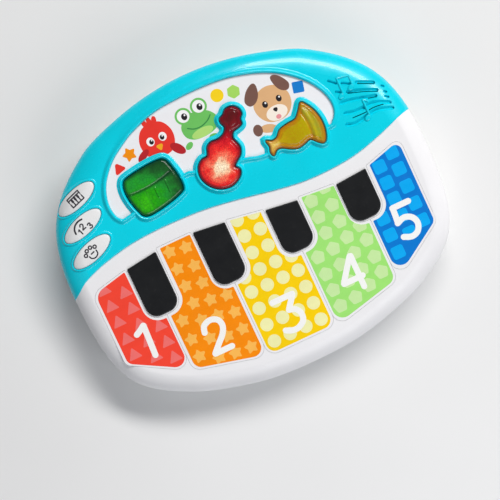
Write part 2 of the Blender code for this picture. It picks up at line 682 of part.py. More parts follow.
def key_outlines():
    """The plates of the five keys, each cut away round the fingers of its black neighbours."""
    outlines = []
    reach = FINGER_RIM + FIT
    notch_y = BLACK_FRONT - reach
    for number in range(len(KEY_FRONT)):
        front_left, front_right = KEY_FRONT[number]
        rear_left, rear_right = KEY_REAR[number]
        corners = []
        if number == 0:
            x = KEY_OUTER_X[0]
            corners += [(x, rear_left, 9), (x, front_left, 6)]
        else:
            split, edge = BLACK_X[number - 1] + KEY_SPLIT / 2, BLACK_X[number - 1] + BLACK_HALF + reach
            corners += [(edge, rear_left, 1), (edge, notch_y, BLACK_CORNER + reach), (split, notch_y, 0.6)]
            corners += [(split, front_left, 8)]
        if number == len(KEY_FRONT) - 1:
            x = KEY_OUTER_X[1]
            corners += [(x, front_right, 6), (x, rear_right, 5)]
        else:
            split, edge = BLACK_X[number] - KEY_SPLIT / 2, BLACK_X[number] - BLACK_HALF - reach
            corners += [(split, front_right, 8), (split, notch_y, 0.6)]
            corners += [(edge, notch_y, BLACK_CORNER + reach), (edge, rear_right, 1)]
        outlines.append(rounded(corners))
    return outlines


def edges_at(loop, x):
    """The y of the loop's front edge and of its rear edge at x."""
    crossings = []
    for a, b in zip(loop, loop[1:] + loop[:1]):
        if min(a.x, b.x) <= x <= max(a.x, b.x) and a.x != b.x:
            crossings.append(a.y + (b.y - a.y) * (x - a.x) / (b.x - a.x))
    return min(crossings), max(crossings)


def key_arm(loop, x):
    """A rib from under the key's plate back to its hub."""
    under = deck(-KEY_THICK)
    front, rear = edges_at(loop, x)
    front = max(ARM_FRONT, front + ARM_INSET[0])
    rear -= ARM_INSET[1]
    low, high = PIVOT_Z - ARM_END_HALF, PIVOT_Z + ARM_END_HALF
    profile = [
        (front, under(front) - ARM_DROP), (rear, low), (PIVOT_Y, low), (PIVOT_Y, high), (rear + 1.5, high),
        (rear, under(rear) + ROOT), (front, under(front) + ROOT),
    ]
    return slab(profile, x - ARM_HALF, x + ARM_HALF)


def stop_hook(x, edge):
    """A hook under the key's front edge that meets the cover from below when the key is up."""
    low, ledge, top = deck(-WALL - GAP - HOOK_THICK), deck(-WALL - GAP), deck(ROOT - KEY_THICK - 0.2)
    tip, step, root = edge - HOOK_REACH, edge + HOOK_NECK[0], edge + HOOK_NECK[1]
    profile = [(tip, low(tip)), (root, low(root)), (root, top(root)), (step, top(step)), (step, ledge(step)),
               (tip, ledge(tip))]
    return slab(profile, x - HOOK_HALF, x + HOOK_HALF)


def make_keys():
    pivot = (0, PIVOT_Y, PIVOT_Z)
    under = deck(-KEY_THICK)
    for number, loop in enumerate(key_outlines()):
        key = prism(loop, under, deck(0))
        unite(key, *[key_arm(loop, x) for x in KEY_ARMS[number]])
        left, right = KEY_ARMS[number][0] - HUB_OVERHANG, KEY_ARMS[number][1] + HUB_OVERHANG
        unite(key, turned([(HUB_RADIUS, left), (HUB_RADIUS, right)], pivot, "X"))
        cut(key, turned([(ROD_HOLE, left - 1), (ROD_HOLE, right + 1)], pivot, "X"))
        x, half = KEY_DOME_X[number], KEY_PLUNGER_HALF
        unite(key, box(x - half, x + half, KEY_DOME_Y - half, KEY_DOME_Y + half, DOME_TOP_KEY + GAP,
                       under(KEY_DOME_Y) + ROOT))
        unite(key, stop_hook(KEY_STOP_X[number], edges_at(loop, KEY_STOP_X[number])[0]))
        finish(key, f"key_{number + 1}", KEY_COLOURS[number], pivot)


def make_black_keys():
    for number, x in enumerate(BLACK_X):
        loop = black_outline(number)
        key = stack([
            ring(loop, deck(-BLACK_SINK)), ring(loop, deck(BLACK_RISE - BLACK_EDGE)),
            ring(grown(loop, -BLACK_EDGE), deck(BLACK_RISE)),
        ])
        unite(key, *[cylinder((x, y), PEG_RADIUS, PEG_LOW_Z, deck(-ROOT)(y), 8) for y in PEG_Y])
        finish(key, f"black_key_{number + 1}", "black_plastic")


def make_key_mechanism():
    frame = prism(FRAME_LOOP, FRAME_Z, FRAME_TOP)
    low, high = FRAME_TOP - 1.4, PIVOT_Z + ARM_END_HALF
    ear = [(PIVOT_Y - EAR_FOOT_HALF, low), (PIVOT_Y + EAR_FOOT_HALF, low), (PIVOT_Y + EAR_TIP_HALF, high),
           (PIVOT_Y - EAR_TIP_HALF, high)]
    for x in [-EAR_END_X] + BLACK_X + [EAR_END_X]:
        unite(frame, slab(ear, x - EAR_HALF, x + EAR_HALF))
    pivot = (0, PIVOT_Y, PIVOT_Z)
    cut(frame, turned([(ROD_HOLE, -ROD_HALF - 6), (ROD_HOLE, ROD_HALF + 6)], pivot, "X"))
    cut(frame, *[cylinder(place, POST_HOLE, 0, TOP_Z, 10) for place in FRAME_POSTS])
    finish(frame, "key_frame", "frame_plastic")
    finish(turned([(ROD_RADIUS, -ROD_HALF), (ROD_RADIUS, ROD_HALF)], pivot, "X"), "key_pivot_rod", "steel")
    half, deep = KEY_BOARD_HALF
    board = box(-half, half, KEY_DOME_Y - deep, KEY_DOME_Y + deep, FRAME_TOP + GAP, KEY_BOARD_TOP)
    finish(board, "key_board", "board_green")
    strip = box(-half, half, *KEY_STRIP_Y, DOME_BASE_KEY, DOME_BASE_KEY + DOME_SHEET)
    add_domes(strip, [(x, KEY_DOME_Y) for x in KEY_DOME_X], DOME_BASE_KEY)
    finish(strip, "key_dome_strip", "grey_rubber")


def add_domes(sheet, places, base):
    """Rubber domes that stand on a sheet and push a plunger back up."""
    foot = base + DOME_SHEET
    for x, y in places:
        unite(sheet, turned([(5, foot - 0.5), (4.6, foot + DOME_HEIGHT - 1.2), (3, foot + DOME_HEIGHT)],
                            (x, y, 0), "Z", 8))


# ---- buttons and electronics ------------------------------------------------------------------------------


def make_graphic_plate():
    low = GAP - PANEL_DEPTH
    plate = prism(grown(smooth(PANEL, 1), -GAP), teal(low), teal(low + PANEL_THICK))
    for name, loop in instrument_outlines().items():
        cut(plate, prism(grown(loop, BEZEL_WIDTH[name] + GAP), teal(-ABOVE), teal(ABOVE)))
    finish(plate, "graphic_plate", "print_white")


def make_instrument_buttons():
    looks = {"drum_button": "green_clear", "violin_button": "red_clear", "horn_button": "amber_clear"}
    flange_top = -WALL - GAP
    for name, loop in instrument_outlines().items():
        button = stack([
            ring(grown(loop, FLANGE), teal(flange_top - FLANGE_THICK)),
            ring(grown(loop, FLANGE), teal(flange_top)),
            ring(loop, teal(flange_top)),
            ring(loop, teal(BUTTON_RISE - BUTTON_EDGE)),
            ring(grown(loop, -BUTTON_EDGE), teal(BUTTON_RISE)),
        ])
        x, y = BUTTON_PLUNGERS[name]
        unite(button, cylinder((x, y), PLUNGER_RADIUS, DOME_TOP + GAP, teal(flange_top - 0.5)(y), 12))
        finish(button, name, looks[name], (x, y, DOME_TOP + GAP))


def make_mode_buttons():
    tab_top = -WALL - GAP
    for name, (x, y) in MODE_BUTTONS.items():
        loop = ellipse((x, y), MODE_HALF_LONG, MODE_HALF_SHORT, MODE_TURN, 24)
        button = prism(loop, teal(-MODE_DEPTH), teal(ABOVE))
        cross(button, case_form(TEAL_SHOULDER, -MODE_RISE, TEAL_STEP + MODE_RISE, FLOOR_Z))
        for edges in MODE_TABS:
            tab = [local((x, y), MODE_TURN, u, v) for u, v in rectangle(*edges)]
            unite(button, prism(tab, teal(tab_top - FLANGE_THICK), teal(tab_top)))
        unite(button, cylinder((x, y), PLUNGER_RADIUS, DOME_TOP + GAP, teal(0.5 - MODE_DEPTH)(y), 12))
        finish(button, name, "white_plastic", (x, y, DOME_TOP + GAP))


def make_boards():
    main_board = box(*MAIN_BOARD, BOARD_Z, BOARD_TOP)
    cut(main_board, *[cylinder(place, POST_HOLE, 0, TOP_Z, 10) for place in MAIN_BOARD_POSTS])
    finish(main_board, "main_board", "board_green")
    finish(box(*CHIP, BOARD_TOP + GAP, BOARD_TOP + GAP + CHIP_THICK), "sound_chip", "chip_black")
    pad = prism(INSTRUMENT_PAD, DOME_BASE, DOME_BASE + DOME_SHEET)
    add_domes(pad, BUTTON_PLUNGERS.values(), DOME_BASE)
    finish(pad, "instrument_dome_pad", "grey_rubber")
    for name, (x, y) in LEDS.items():
        finish(turned(LED_PROFILE, (x, y, 0), "Z", 10), name, "led_clear")
    mode_board = prism(MODE_BOARD, BOARD_Z, BOARD_TOP)
    cut(mode_board, *[cylinder(place, POST_HOLE, 0, TOP_Z, 10) for place in MODE_BOARD_POSTS])
    finish(mode_board, "mode_board", "board_green")
    pad = prism(MODE_PAD, DOME_BASE, DOME_BASE + DOME_SHEET)
    add_domes(pad, MODE_BUTTONS.values(), DOME_BASE)
    finish(pad, "mode_dome_pad", "grey_rubber")


def make_ribbon_cable():
    """A flat cable that runs back over the key board, climbs and ends under the main board."""
    low, high = KEY_BOARD_TOP + GAP, BOARD_Z - GAP
    front, back = CABLE_Y
    thick, end = CABLE_THICK, back + CABLE_TURN
    lower = [(front, low), (back, low), (back + thick, high - thick), (end, high - thick)]
    upper = [(end, high), (back, high), (back - thick, low + thick), (front, low + thick)]
    finish(slab(lower + upper, *CABLE_X), "key_ribbon_cable", "ribbon_grey")


def make_speaker():
    for name, profile, look, low in (
        ("speaker_frame", BASKET, "steel", None),
        ("speaker_cone", CONE, "speaker_paper", CONE[0][1]),
        ("speaker_magnet", MAGNET, "ferrite", None),
    ):
        made = turned(profile, (SPEAKER_X, SPEAKER_Y, SPEAKER_RIM_Z))
        origin = (0, 0, 0) if low is None else (SPEAKER_X, SPEAKER_Y, SPEAKER_RIM_Z + low)
        finish(made, name, look, origin)


def make_cells():
    middle = (BAY_FRONT + BAY_REAR) / 2
    z = BAY_TOP_Z - GAP - CELL_RADIUS
    body = CELL_LENGTH - TIP_LENGTH
    for number in range(3):
        x = (number - 1) * CELL_PITCH
        facing = -1 if number == 1 else 1  # the way the cell's raised end points
        start = middle - facing * (CELL_LENGTH / 2 - TIP_LENGTH)
        profile = [(CELL_RADIUS, 0), (CELL_RADIUS, body), (TIP_RADIUS, body), (TIP_RADIUS, CELL_LENGTH)]
        if facing < 0:
            profile = [(radius, -along) for radius, along in reversed(profile)]
        finish(turned(profile, (x, start, z), "Y", 14), f"battery_{number + 1}", "cell_jacket")
        tip = start + facing * CELL_LENGTH
        near, far = sorted((tip + facing * GAP, tip + facing * (GAP + CONTACT_THICK)))
        contact = box(x - CONTACT_HALF, x + CONTACT_HALF, near, far, z - CONTACT_HALF, z + CONTACT_HALF)
        finish(contact, f"battery_contact_{number + 1}", "nickel")
        wall = BAY_FRONT if facing > 0 else BAY_REAR
        profile = [(wall + facing * y, z + height) for y, height in SPRING_LEAF]
        if facing < 0:
            profile.reverse()
        finish(slab(profile, x - SPRING_HALF, x + SPRING_HALF), f"battery_spring_{number + 1}", "nickel")


def make_power_switch():
    left, right, front, back = SWITCH_SLOT
    middle = (front + back) / 2
    knob = box(left + FIT, left + FIT + KNOB_LENGTH, front + FIT, back - FIT, KNOB_LOW_Z, FLOOR_Z + 1)
    to_left, to_right, to_side = KNOB_SHUTTER
    low = FLOOR_Z + GAP
    high = low + KNOB_SHUTTER_THICK
    unite(knob, box(left - to_left, left + to_right, front - to_side, back + to_side, low, high))
    unite(knob, box(left + 2, left + 4, middle - 1.5, middle + 1.5, FLOOR_Z + 1, SWITCH_Z + 1.2))
    finish(knob, "power_switch_knob", "black_plastic", (left + 3, middle, BASE_Z))
    far = SWITCH_FEET[1]
    body = box(left - far, right + far, front - 1, back + 1, SWITCH_Z, SWITCH_Z + SWITCH_HEIGHT)
    cut(body, box(left, right, middle - 1.8, middle + 1.8, SWITCH_Z - 1, SWITCH_Z + 1.6))
    finish(body, "power_switch_body", "chip_black")


def main():
    for item in list(bpy.data.objects):
        bpy.data.objects.remove(item)
    make_upper_cover()
    make_keyboard_cover()
    make_bottom_cover()
    make_battery_door()
    make_feet_and_screws()
    make_keys()
    make_black_keys()
    make_key_mechanism()
    make_graphic_plate()
    make_instrument_buttons()
    make_mode_buttons()
    make_boards()
    make_ribbon_cable()
    make_speaker()
    make_cells()
    make_power_switch()


main()
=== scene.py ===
"""Looks of the toy electronic keyboard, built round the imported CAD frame.

Sizes in this script are millimetres in the frame's own axes, and the meshes are made in metres.
"""

import math

import bmesh
import bpy
import numpy as np
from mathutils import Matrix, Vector
from mathutils.geometry import delaunay_2d_cdt


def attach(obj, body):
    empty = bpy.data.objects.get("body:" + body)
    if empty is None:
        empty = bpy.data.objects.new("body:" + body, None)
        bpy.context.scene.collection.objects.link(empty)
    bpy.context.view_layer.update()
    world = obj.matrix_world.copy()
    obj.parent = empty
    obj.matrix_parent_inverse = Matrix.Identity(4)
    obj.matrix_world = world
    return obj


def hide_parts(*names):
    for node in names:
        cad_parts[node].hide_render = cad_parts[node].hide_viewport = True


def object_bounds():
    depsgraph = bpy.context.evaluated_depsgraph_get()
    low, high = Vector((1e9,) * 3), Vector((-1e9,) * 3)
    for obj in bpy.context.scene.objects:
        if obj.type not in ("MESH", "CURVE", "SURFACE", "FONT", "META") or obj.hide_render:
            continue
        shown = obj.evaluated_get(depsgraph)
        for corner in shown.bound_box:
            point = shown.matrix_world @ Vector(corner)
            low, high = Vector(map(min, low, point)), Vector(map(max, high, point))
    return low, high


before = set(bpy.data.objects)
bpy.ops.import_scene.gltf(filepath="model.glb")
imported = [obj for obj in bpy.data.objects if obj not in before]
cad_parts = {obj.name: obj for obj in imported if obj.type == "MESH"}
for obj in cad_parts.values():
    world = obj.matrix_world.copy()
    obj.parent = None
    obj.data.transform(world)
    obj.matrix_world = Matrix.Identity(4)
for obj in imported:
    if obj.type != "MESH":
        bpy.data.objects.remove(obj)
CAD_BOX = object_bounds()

MM = 0.001

# ---- the frame's own measures -----------------------------------------------------------------------------

CASE_SIDES = 192
CASE_HALF = [
    (0, -118), (40, -115.5), (80, -105.5), (100, -97), (118, -86.5), (131, -74), (139, -57), (143, -36),
    (144.5, -8), (143.5, 20), (139, 43), (131, 61), (118, 77), (100, 91.5), (80, 102.5), (40, 114), (0, 118),
]
WALL = 2.5
WALL_LEAN = 0.8
SHOULDER_HIGH = 11.0
SHOULDER_STEPS = 14
TEAL_SHOULDER = 18.0
WHITE_SHOULDER = 14.0
DECK_MIDDLE = 42.0
DECK_SLOPE = 0.0758
TEAL_STEP = 1.2
SPLIT_Z = 14.0
SPLIT_GAP = 0.3
BASE_Z = 1.5
BASE_EDGE = 4.0
FLOOR_Z = 4.0
TOP_Z = 80.0
SEAM = [
    (-165, -6), (-144.5, 0), (-130, 9), (-120, 13), (-110, 16), (-90, 20), (-70, 21.6), (-50, 21.6),
    (-30, 20.6), (-10, 18), (10, 14.4), (30, 10.6), (50, 8), (70, 7.8), (90, 9.6), (110, 14.4), (130, 21),
    (144, 25), (165, 33),
]
SEAM_GAP = 0.12
SEAM_ROUND = 0.9
FIT = 0.3  # play round anything that is fitted into something else
TALL = 5.0  # how far a cutter reaches beyond the surface that it cuts
BORE_SIDES = 16
TEAL_BOSSES = [(-92, 88), (92, 88), (-134, 14), (134, 32)]
WHITE_BOSSES = [(-135, -30), (135, -30), (-60, -103.5), (60, -103.5)]
BOSS_RADIUS = 4.0
TOWER_RADIUS = 4.6
SCREW_RADIUS = 1.3
SCREW_HOLE = 1.7
HEAD_RADIUS = 2.9
HEAD_BORE = 3.3
HEAD_SEAT_Z = 10.5
SCREW_TOP_Z = 24.0
PIN_RADIUS = 1.3
POST_RADIUS = 3.0
FEET = [(-100, -60), (100, -60), (-104, 62), (104, 62)]
FOOT_RADIUS = 7.0
FOOT_TOP_Z = 2.7

KEY_THICK = 2.6
BLACK_X = [-86.3, -30.45, 25.45, 81.3]
BLACK_HALF = 12.35
BLACK_FRONT = -37.0
BLACK_CORNER = 9.0
BLACK_REAR = [(4.5, 7.5), (8.5, 5.5), (0.8, -2.5), (-4.2, -2.5)]
BLACK_RISE = 1.5
BLACK_SINK = 0.9
BLACK_GAP = 0.15
KEY_REACH = 1.5  # from a black key's edge to the plates of its neighbours
KEY_SPLIT = 0.5
KEY_GROWTH = 0.17  # the plates here are that much wider than the frame's, so that the gaps are fine
KEY_GAP = 0.16
KEY_OUTER_X = (-130.0, 125.8)
KEY_FRONT = [(-59.7, -84.8), (-84.9, -98.8), (-99.4, -99.4), (-101.1, -88.2), (-89.0, -60.5)]
KEY_REAR = [(-1.3, 4.9), (9.7, 9.7), (6.8, 2.0), (-0.6, -2.8), (-0.98, 7.7)]
ARM_FRONT = -70.0
KEY_ARMS = [(-120, -108), (-65, -52), (-9, 4), (47, 60), (104, 117)]
KEY_DOME_X = [-109, -58, -3, 53.5, 106]
KEY_STOP_X = [-102, -50, -3, 50, 98]
KEY_DOME_Y = -50.0
KEY_DOME_TOP = 27.5
PIVOT_Y = 15.0
PIVOT_Z = 35.0
ROD_HOLE = 1.8
HUB_RADIUS = 3.6
HUB_OVERHANG = 3.0
ARM_HALF = 1.4
ARM_END_HALF = 3.2
ARM_DROP = 3.0
ROOT = 0.6  # how deep a rib or a plunger runs into the plate that carries it
KEY_PLUNGER_HALF = 3.5
HOOK_REACH = 2.4  # how far a stop hook runs under the cover in front of the key
HOOK_NECK = (3, 7)
HOOK_HALF = 2.5

PANEL = [
    (-79, 40.6), (-33, 50.6), (-20, 49.4), (16, 42.4), (31, 39), (79, 37.9), (86, 40), (89.9, 45.4),
    (90.8, 53), (88, 63),
    (80, 75), (66, 87), (50, 95), (30, 100.6), (10, 102.6), (-10, 102.6), (-30, 101), (-50, 95), (-62, 89),
    (-74, 81), (-84, 70), (-89, 59), (-90, 49), (-87, 41),
]
PANEL_DEPTH = 1.4
PLATE_LOW = -1.1
PLATE_TOP = -0.3
PANEL_RIM = [  # the raised rim round the picture: distance outward, height
    (4.6, -2.0), (4.6, -0.02), (4.0, 0.1), (3.3, 0.5), (2.6, 1.15), (1.95, 1.65), (1.4, 1.85), (0.9, 1.78),
    (0.45, 1.4), (0.1, 0.75), (0, 0.2), (0, -2.0),
]
MODE_LIP = [
    (2.4, -1.6), (2.4, -0.1), (1.9, 0.06), (1.5, 0.4), (1.1, 0.75), (0.7, 0.8), (0.3, 0.55), (0.05, 0.15),
    (0, -1.6),
]
DRUM = [
    (-75.5, 57), (-75, 49), (-72.5, 40), (-70, 35), (-64, 33.4), (-50, 35.4), (-38, 38.8), (-34.8, 42),
    (-34.4, 50), (-36, 59), (-38.4, 66), (-43, 68), (-55, 67.8), (-70, 65.6), (-74, 63),
]
VIOLIN = [
    (-2.4, 27.4), (3.6, 29.2), (7.8, 32.8), (8.8, 36.8), (6.6, 39.8), (9.8, 42.8), (13.8, 46), (15.8, 51),
    (15, 55.4),
    (13.8, 59.6), (16.2, 63.4), (20.4, 64.4), (24, 66), (24.6, 69.8), (27.2, 73), (26.6, 77.6), (22.8, 80.8),
    (17.4, 80.8), (14.2, 77.8), (10.6, 76), (10.4, 72.6), (11.6, 69.2), (8.6, 65), (3.4, 63.2), (-2.4, 63.4),
    (-6.4, 61.2), (-7.8, 57.8), (-9.6, 55), (-14, 54.4), (-18.4, 50.8), (-20.2, 44.6), (-19, 38.6),
    (-15.4, 33),
    (-9.6, 28.8),
]
HORN = [
    (35, 47), (39.2, 45.2), (43.4, 46), (47.8, 50.2), (55, 51.8), (61.5, 52.6), (66, 57.2), (70.2, 62),
    (73.8, 58.5),
    (77, 52.5), (78.8, 45), (78.6, 37), (76.4, 30), (73.6, 27.6), (70, 30), (65.6, 34.2), (60.6, 33),
    (55, 32),
    (49.4, 34), (43.5, 37.4), (39.5, 37.4), (36, 34.6), (34.6, 38), (35.8, 42),
]
BEZEL_WIDTH = {"drum_button": 3.0, "violin_button": 2.5, "horn_button": 2.3}
BEZEL_FOOT = {"drum_button": 1.5, "violin_button": 1.1, "horn_button": 1.5}
BUTTON_PLUNGERS = {"drum_button": (-55, 51), "violin_button": (-3, 47), "horn_button": (57, 42)}
PLUNGER_RADIUS = 3.2
PLUNGER_END_Z = 33.8
BUTTON_GAP = 0.2
BUTTON_HOLE = 0.9  # from a button's outline to the edge of the hole below its bezel
MODE_BUTTONS = {
    "mode_button_piano": (-110.7, 67.7),
    "mode_button_numbers": (-114.6, 47.5),
    "mode_button_animal": (-116.6, 27.5),
}
MODE_HALF_LONG = 17.6
MODE_HALF_SHORT = 7.0
MODE_TURN = math.radians(18)
MODE_RISE = 0.9
MODE_DEPTH = 7.0  # from the deck down to where a cap's skirt begins
MODE_HOLE = 0.5  # from a cap's edge to its hole's, below the lip
MODE_SKIRT = {"mode_button_piano": 3.0, "mode_button_numbers": 3.0, "mode_button_animal": 0.6}
SPEAKER_X = 112.0
SPEAKER_Y = 46.0
SPEAKER_RADIUS = 19.4
SPEAKER_WALL = 1.6
SPEAKER_WALL_Z = 35.0
BAY_HALF = 23.5
BAY_FRONT = 30.5
BAY_REAR = 87.3
BAY_TOP_Z = 19.4
DOOR_HALF = 26.4
DOOR_LAP = 1.6
DOOR_EAR_HALF = 7.0
DOOR_EAR_REACH = 5.5
DOOR_SCREW_Y = 95.0
DOOR_POST_RADIUS = 4.6
DOOR_POST_TOP_Z = 16.0
LEDGE = 3.0  # how far the frame round the door reaches past it
GRIP_Y = (38, 42, 46)
SWITCH_SLOT = (52.0, 66.0, 58.0, 63.0)
SWITCH_Z = 8.0
POSTS = [
    ((-95, -15), 18.0), ((95, -15), 18.0), ((-45, -82), 18.0), ((45, -82), 18.0), ((-72, 36), 27.0),
    ((-72, 74), 27.0), ((76, 36), 27.0), ((76, 74), 27.0), ((-104, 32), 27.0), ((-102, 56), 27.0),
]


# ---- outlines ---------------------------------------------------------------------------------------------


def catmull(before, start, end, after, t):
    return 0.5 * (
        2 * start + (end - before) * t
        + (2 * before - 5 * start + 4 * end - after) * t**2
        + (3 * start - before - 3 * end + after) * t**3
    )


def smooth(points, steps):
    """A closed loop on a smooth curve through the points, with steps points to each span."""
    loop = []
    for i in range(len(points)):
        span = [Vector(points[(i + k) % len(points)]) for k in (-1, 0, 1, 2)]
        loop += [catmull(*span, step / steps) for step in range(steps)]
    return counterclockwise(loop)


def curve(points, steps):
    """An open line on a smooth curve through the points."""
    points = [Vector(point) for point in points]
    line = []
    for i in range(len(points) - 1):
        span = [points[min(max(i + k, 0), len(points) - 1)] for k in (-1, 0, 1, 2)]
        line += [catmull(*span, step / steps) for step in range(steps)]
    return line + [points[-1]]


def counterclockwise(loop):
    area = sum(a[0] * b[1] - b[0] * a[1] for a, b in zip(loop, loop[1:] + loop[:1]))
    return list(loop) if area > 0 else list(reversed(loop))


def rounded(corners, fineness=1.2):
    """A loop whose corners (x, y, radius) are each an arc that touches both sides."""
    loop = []
    for i, (x, y, radius) in enumerate(corners):
        steps = 2 + round(radius / fineness)
        corner = Vector((x, y))
        back = (Vector(corners[i - 1][:2]) - corner).normalized()
        ahead = (Vector(corners[(i + 1) % len(corners)][:2]) - corner).normalized()
        half = back.angle(ahead) / 2
        centre = corner + (back + ahead).normalized() * radius / math.sin(half)
        first = corner + back * radius / math.tan(half) - centre
        last = corner + ahead * radius / math.tan(half) - centre
        turn = first.angle_signed(last)
        angle = math.atan2(first.y, first.x)
        for step in range(steps + 1):
            a = angle - turn * step / steps
            loop.append(centre + radius * Vector((math.cos(a), math.sin(a))))
    return counterclockwise(loop)


def grown(loop, distance):
    """The loop with every side moved outward by distance, or inward if it is negative."""
    result = []
    for i, point in enumerate(loop):
        point = Vector(point)
        side_in = point - Vector(loop[i - 1])
        side_out = Vector(loop[(i + 1) % len(loop)]) - point
        normal_in = Vector((side_in.y, -side_in.x)).normalized()
        normal_out = Vector((side_out.y, -side_out.x)).normalized()
        result.append(point + (normal_in + normal_out) * distance / (1 + normal_in.dot(normal_out)))
    return result


def evenly(loop, count):
    """The loop again, with count points spaced evenly along it."""
    lengths = [0.0]
    for a, b in zip(loop, loop[1:] + loop[:1]):
        lengths.append(lengths[-1] + (b - a).length)
    result = []
    side = 0
    for i in range(count):
        distance = lengths[-1] * i / count
        while lengths[side + 1] <= distance:
            side += 1
        share = (distance - lengths[side]) / (lengths[side + 1] - lengths[side])
        result.append(loop[side].lerp(loop[(side + 1) % len(loop)], share))
    return result


def clearance(points, loop):
    """How far each point is from the closed loop."""
    points = np.array([tuple(p) for p in points], float)[:, None, :]
    start = np.array([tuple(p) for p in loop], float)
    side = np.roll(start, -1, 0) - start
    share = np.clip(((points - start) * side).sum(-1) / (side**2).sum(-1), 0, 1)
    return np.sqrt(((start + share[..., None] * side - points) ** 2).sum(-1)).min(1)


def inside(points, loop):
    """Whether each point is within the closed loop."""
    x, y = np.array([tuple(p) for p in points], float).T[:, :, None]
    ax, ay = np.array([tuple(p) for p in loop], float).T
    bx, by = np.roll(ax, -1), np.roll(ay, -1)
    with np.errstate(divide="ignore", invalid="ignore"):
        crossing = ((ay > y) != (by > y)) & (x < (bx - ax) * (y - ay) / (by - ay) + ax)
    return crossing.sum(1) % 2 == 1


FOLD_SHARE = 0.9995  # a moved point nearer to the loop than this share of the distance lies in a fold


def outset(loop, distance, count):
    """The loop moved outward by distance, without the folds that this makes at its inner corners."""
    dense = evenly(loop, 4 * count)
    moved = grown(dense, distance)
    free = clearance(moved, dense) > distance * FOLD_SHARE
    return evenly([point for point, kept in zip(moved, free) if kept], count)


def stroke(line, width, caps=7):
    """The outline of a line of the given width with round ends."""
    line = [Vector(point) for point in line]
    left, right = [], []
    for i, point in enumerate(line):
        along = line[min(i + 1, len(line) - 1)] - line[max(i - 1, 0)]
        side = Vector((-along.y, along.x)).normalized() * width / 2
        left.append(point + side)
        right.append(point - side)
    loop = []
    for sides, other, end in ((right, left, -1), (left[::-1], right[::-1], -1)):
        loop += sides
        middle = (sides[end] + other[end]) / 2
        arm = sides[end] - middle
        for step in range(1, caps):
            a = math.pi * step / caps
            loop.append(middle + Vector((arm.x * math.cos(a) - arm.y * math.sin(a),
                                         arm.x * math.sin(a) + arm.y * math.cos(a))))
    return counterclockwise(loop)


def local(centre, turn, x, y):
    """The point (x, y) of a frame that stands at centre and is turned by turn."""
    return Vector((
        centre[0] + x * math.cos(turn) - y * math.sin(turn),
        centre[1] + x * math.sin(turn) + y * math.cos(turn),
    ))


def ellipse(centre, half_long, half_short, turn=0.0, sides=32):
    angles = [math.tau * i / sides for i in range(sides)]
    return [local(centre, turn, half_long * math.cos(a), half_short * math.sin(a)) for a in angles]


def polygon(centre, radius, sides, turn, corner):
    angles = [turn + math.tau * i / sides for i in range(sides)]
    return rounded([(*local(centre, a, radius, 0), corner) for a in angles], 0.5)


def star(centre, radius, turn=math.pi / 2):
    corners = []
    for i in range(10):
        reach, corner = (radius, 0.7) if i % 2 == 0 else (radius * 0.56, 0.5)
        corners.append((*local(centre, turn + math.tau * i / 10, reach, 0), corner))
    return rounded(corners, 0.5)


def triangle(centre, half, high):
    x, y = centre
    return rounded([(x - half, y - high / 2, 0.5), (x + half, y - high / 2, 0.5), (x, y + high / 2, 0.7)],
                   0.5)


def square(centre, half, turn=0.0, corner=2.0):
    places = ((-half, -half), (half, -half), (half, half), (-half, half))
    corners = [local(centre, turn, *place) for place in places]
    return rounded([(*place, corner) for place in corners], 0.7)


def fitted_case():
    """The case outline, stretched by a hair so that it fills the frame's box exactly."""
    loop = evenly(smooth(CASE_HALF + [(-x, y) for x, y in CASE_HALF[-2:0:-1]], 12), CASE_SIDES)
    wide = CAD_BOX[1].x / MM / max(point.x for point in loop)
    deep = CAD_BOX[1].y / MM / max(point.y for point in loop)
    return [Vector((point.x * wide, point.y * deep)) for point in loop]


CASE = fitted_case()


def deck(rise):
    """A level that follows the sloping deck at a height above it."""
    return lambda x, y: DECK_MIDDLE + DECK_SLOPE * y + rise


def teal(rise):
    return deck(TEAL_STEP + rise)


def shoulder_drop(share):
    """How far the shoulder has fallen at a share of its width from the deck to the wall."""
    return 1 - (1 - share**1.5) ** 0.55


def teal_surface(rise):
    """A level that also follows the teal cover's rounded shoulder."""
    def level(x, y):
        share = np.clip(1 - clearance([(x, y)], CASE)[0] / TEAL_SHOULDER, 0, 1)
        return teal(rise)(x, y) - SHOULDER_HIGH * float(shoulder_drop(share))
    return level


# ---- solids -----------------------------------------------------------------------------------------------


def placed(name, data):
    """A new object with the data, in the scene."""
    made = bpy.data.objects.new(name, data)
    bpy.context.scene.collection.objects.link(made)
    return made


def solid(points, faces):
    mesh = bpy.data.meshes.new("solid")
    mesh.from_pydata([tuple(c * MM for c in point) for point in points], [], faces)
    work = bmesh.new()
    work.from_mesh(mesh)
    bmesh.ops.recalc_face_normals(work, faces=work.faces)
    work.to_mesh(mesh)
    work.free()
    return placed("solid", mesh)


def stack(rings, closed=False):
    """A solid through rings of (x, y, z) points: capped at both ends, or closed into a hoop."""
    count = len(rings[0])
    faces = []
    for level in range(len(rings) if closed else len(rings) - 1):
        low, high = level * count, (level + 1) % len(rings) * count
        for i in range(count):
            j = (i + 1) % count
            faces.append((low + i, low + j, high + j, high + i))
    if not closed:
        faces.append(tuple(reversed(range(count))))
        faces.append(tuple(range((len(rings) - 1) * count, len(rings) * count)))
    return solid([point for ring_points in rings for point in ring_points], faces)


def ring(loop, level):
    """The loop at a level, which is a height or a function of x and y."""
    return [(x, y, level(x, y) if callable(level) else level) for x, y in loop]


def layered(loop, profile, level=float):
    """A solid through copies of a loop. Its profile lists (distance outward, height) points."""
    return stack([ring(grown(loop, out), level(height)) for out, height in profile])


def prism(loop, low, high):
    loop = counterclockwise([Vector(point) for point in loop])
    return stack([ring(loop, low), ring(loop, high)])


def box(left, right, front, back, low, high):
    return prism([(left, front), (right, front), (right, back), (left, back)], low, high)


def slab(profile, left, right):
    """A profile of (y, z) points extruded from left to right."""
    return stack([[(x, y, z) for y, z in profile] for x in (left, right)])


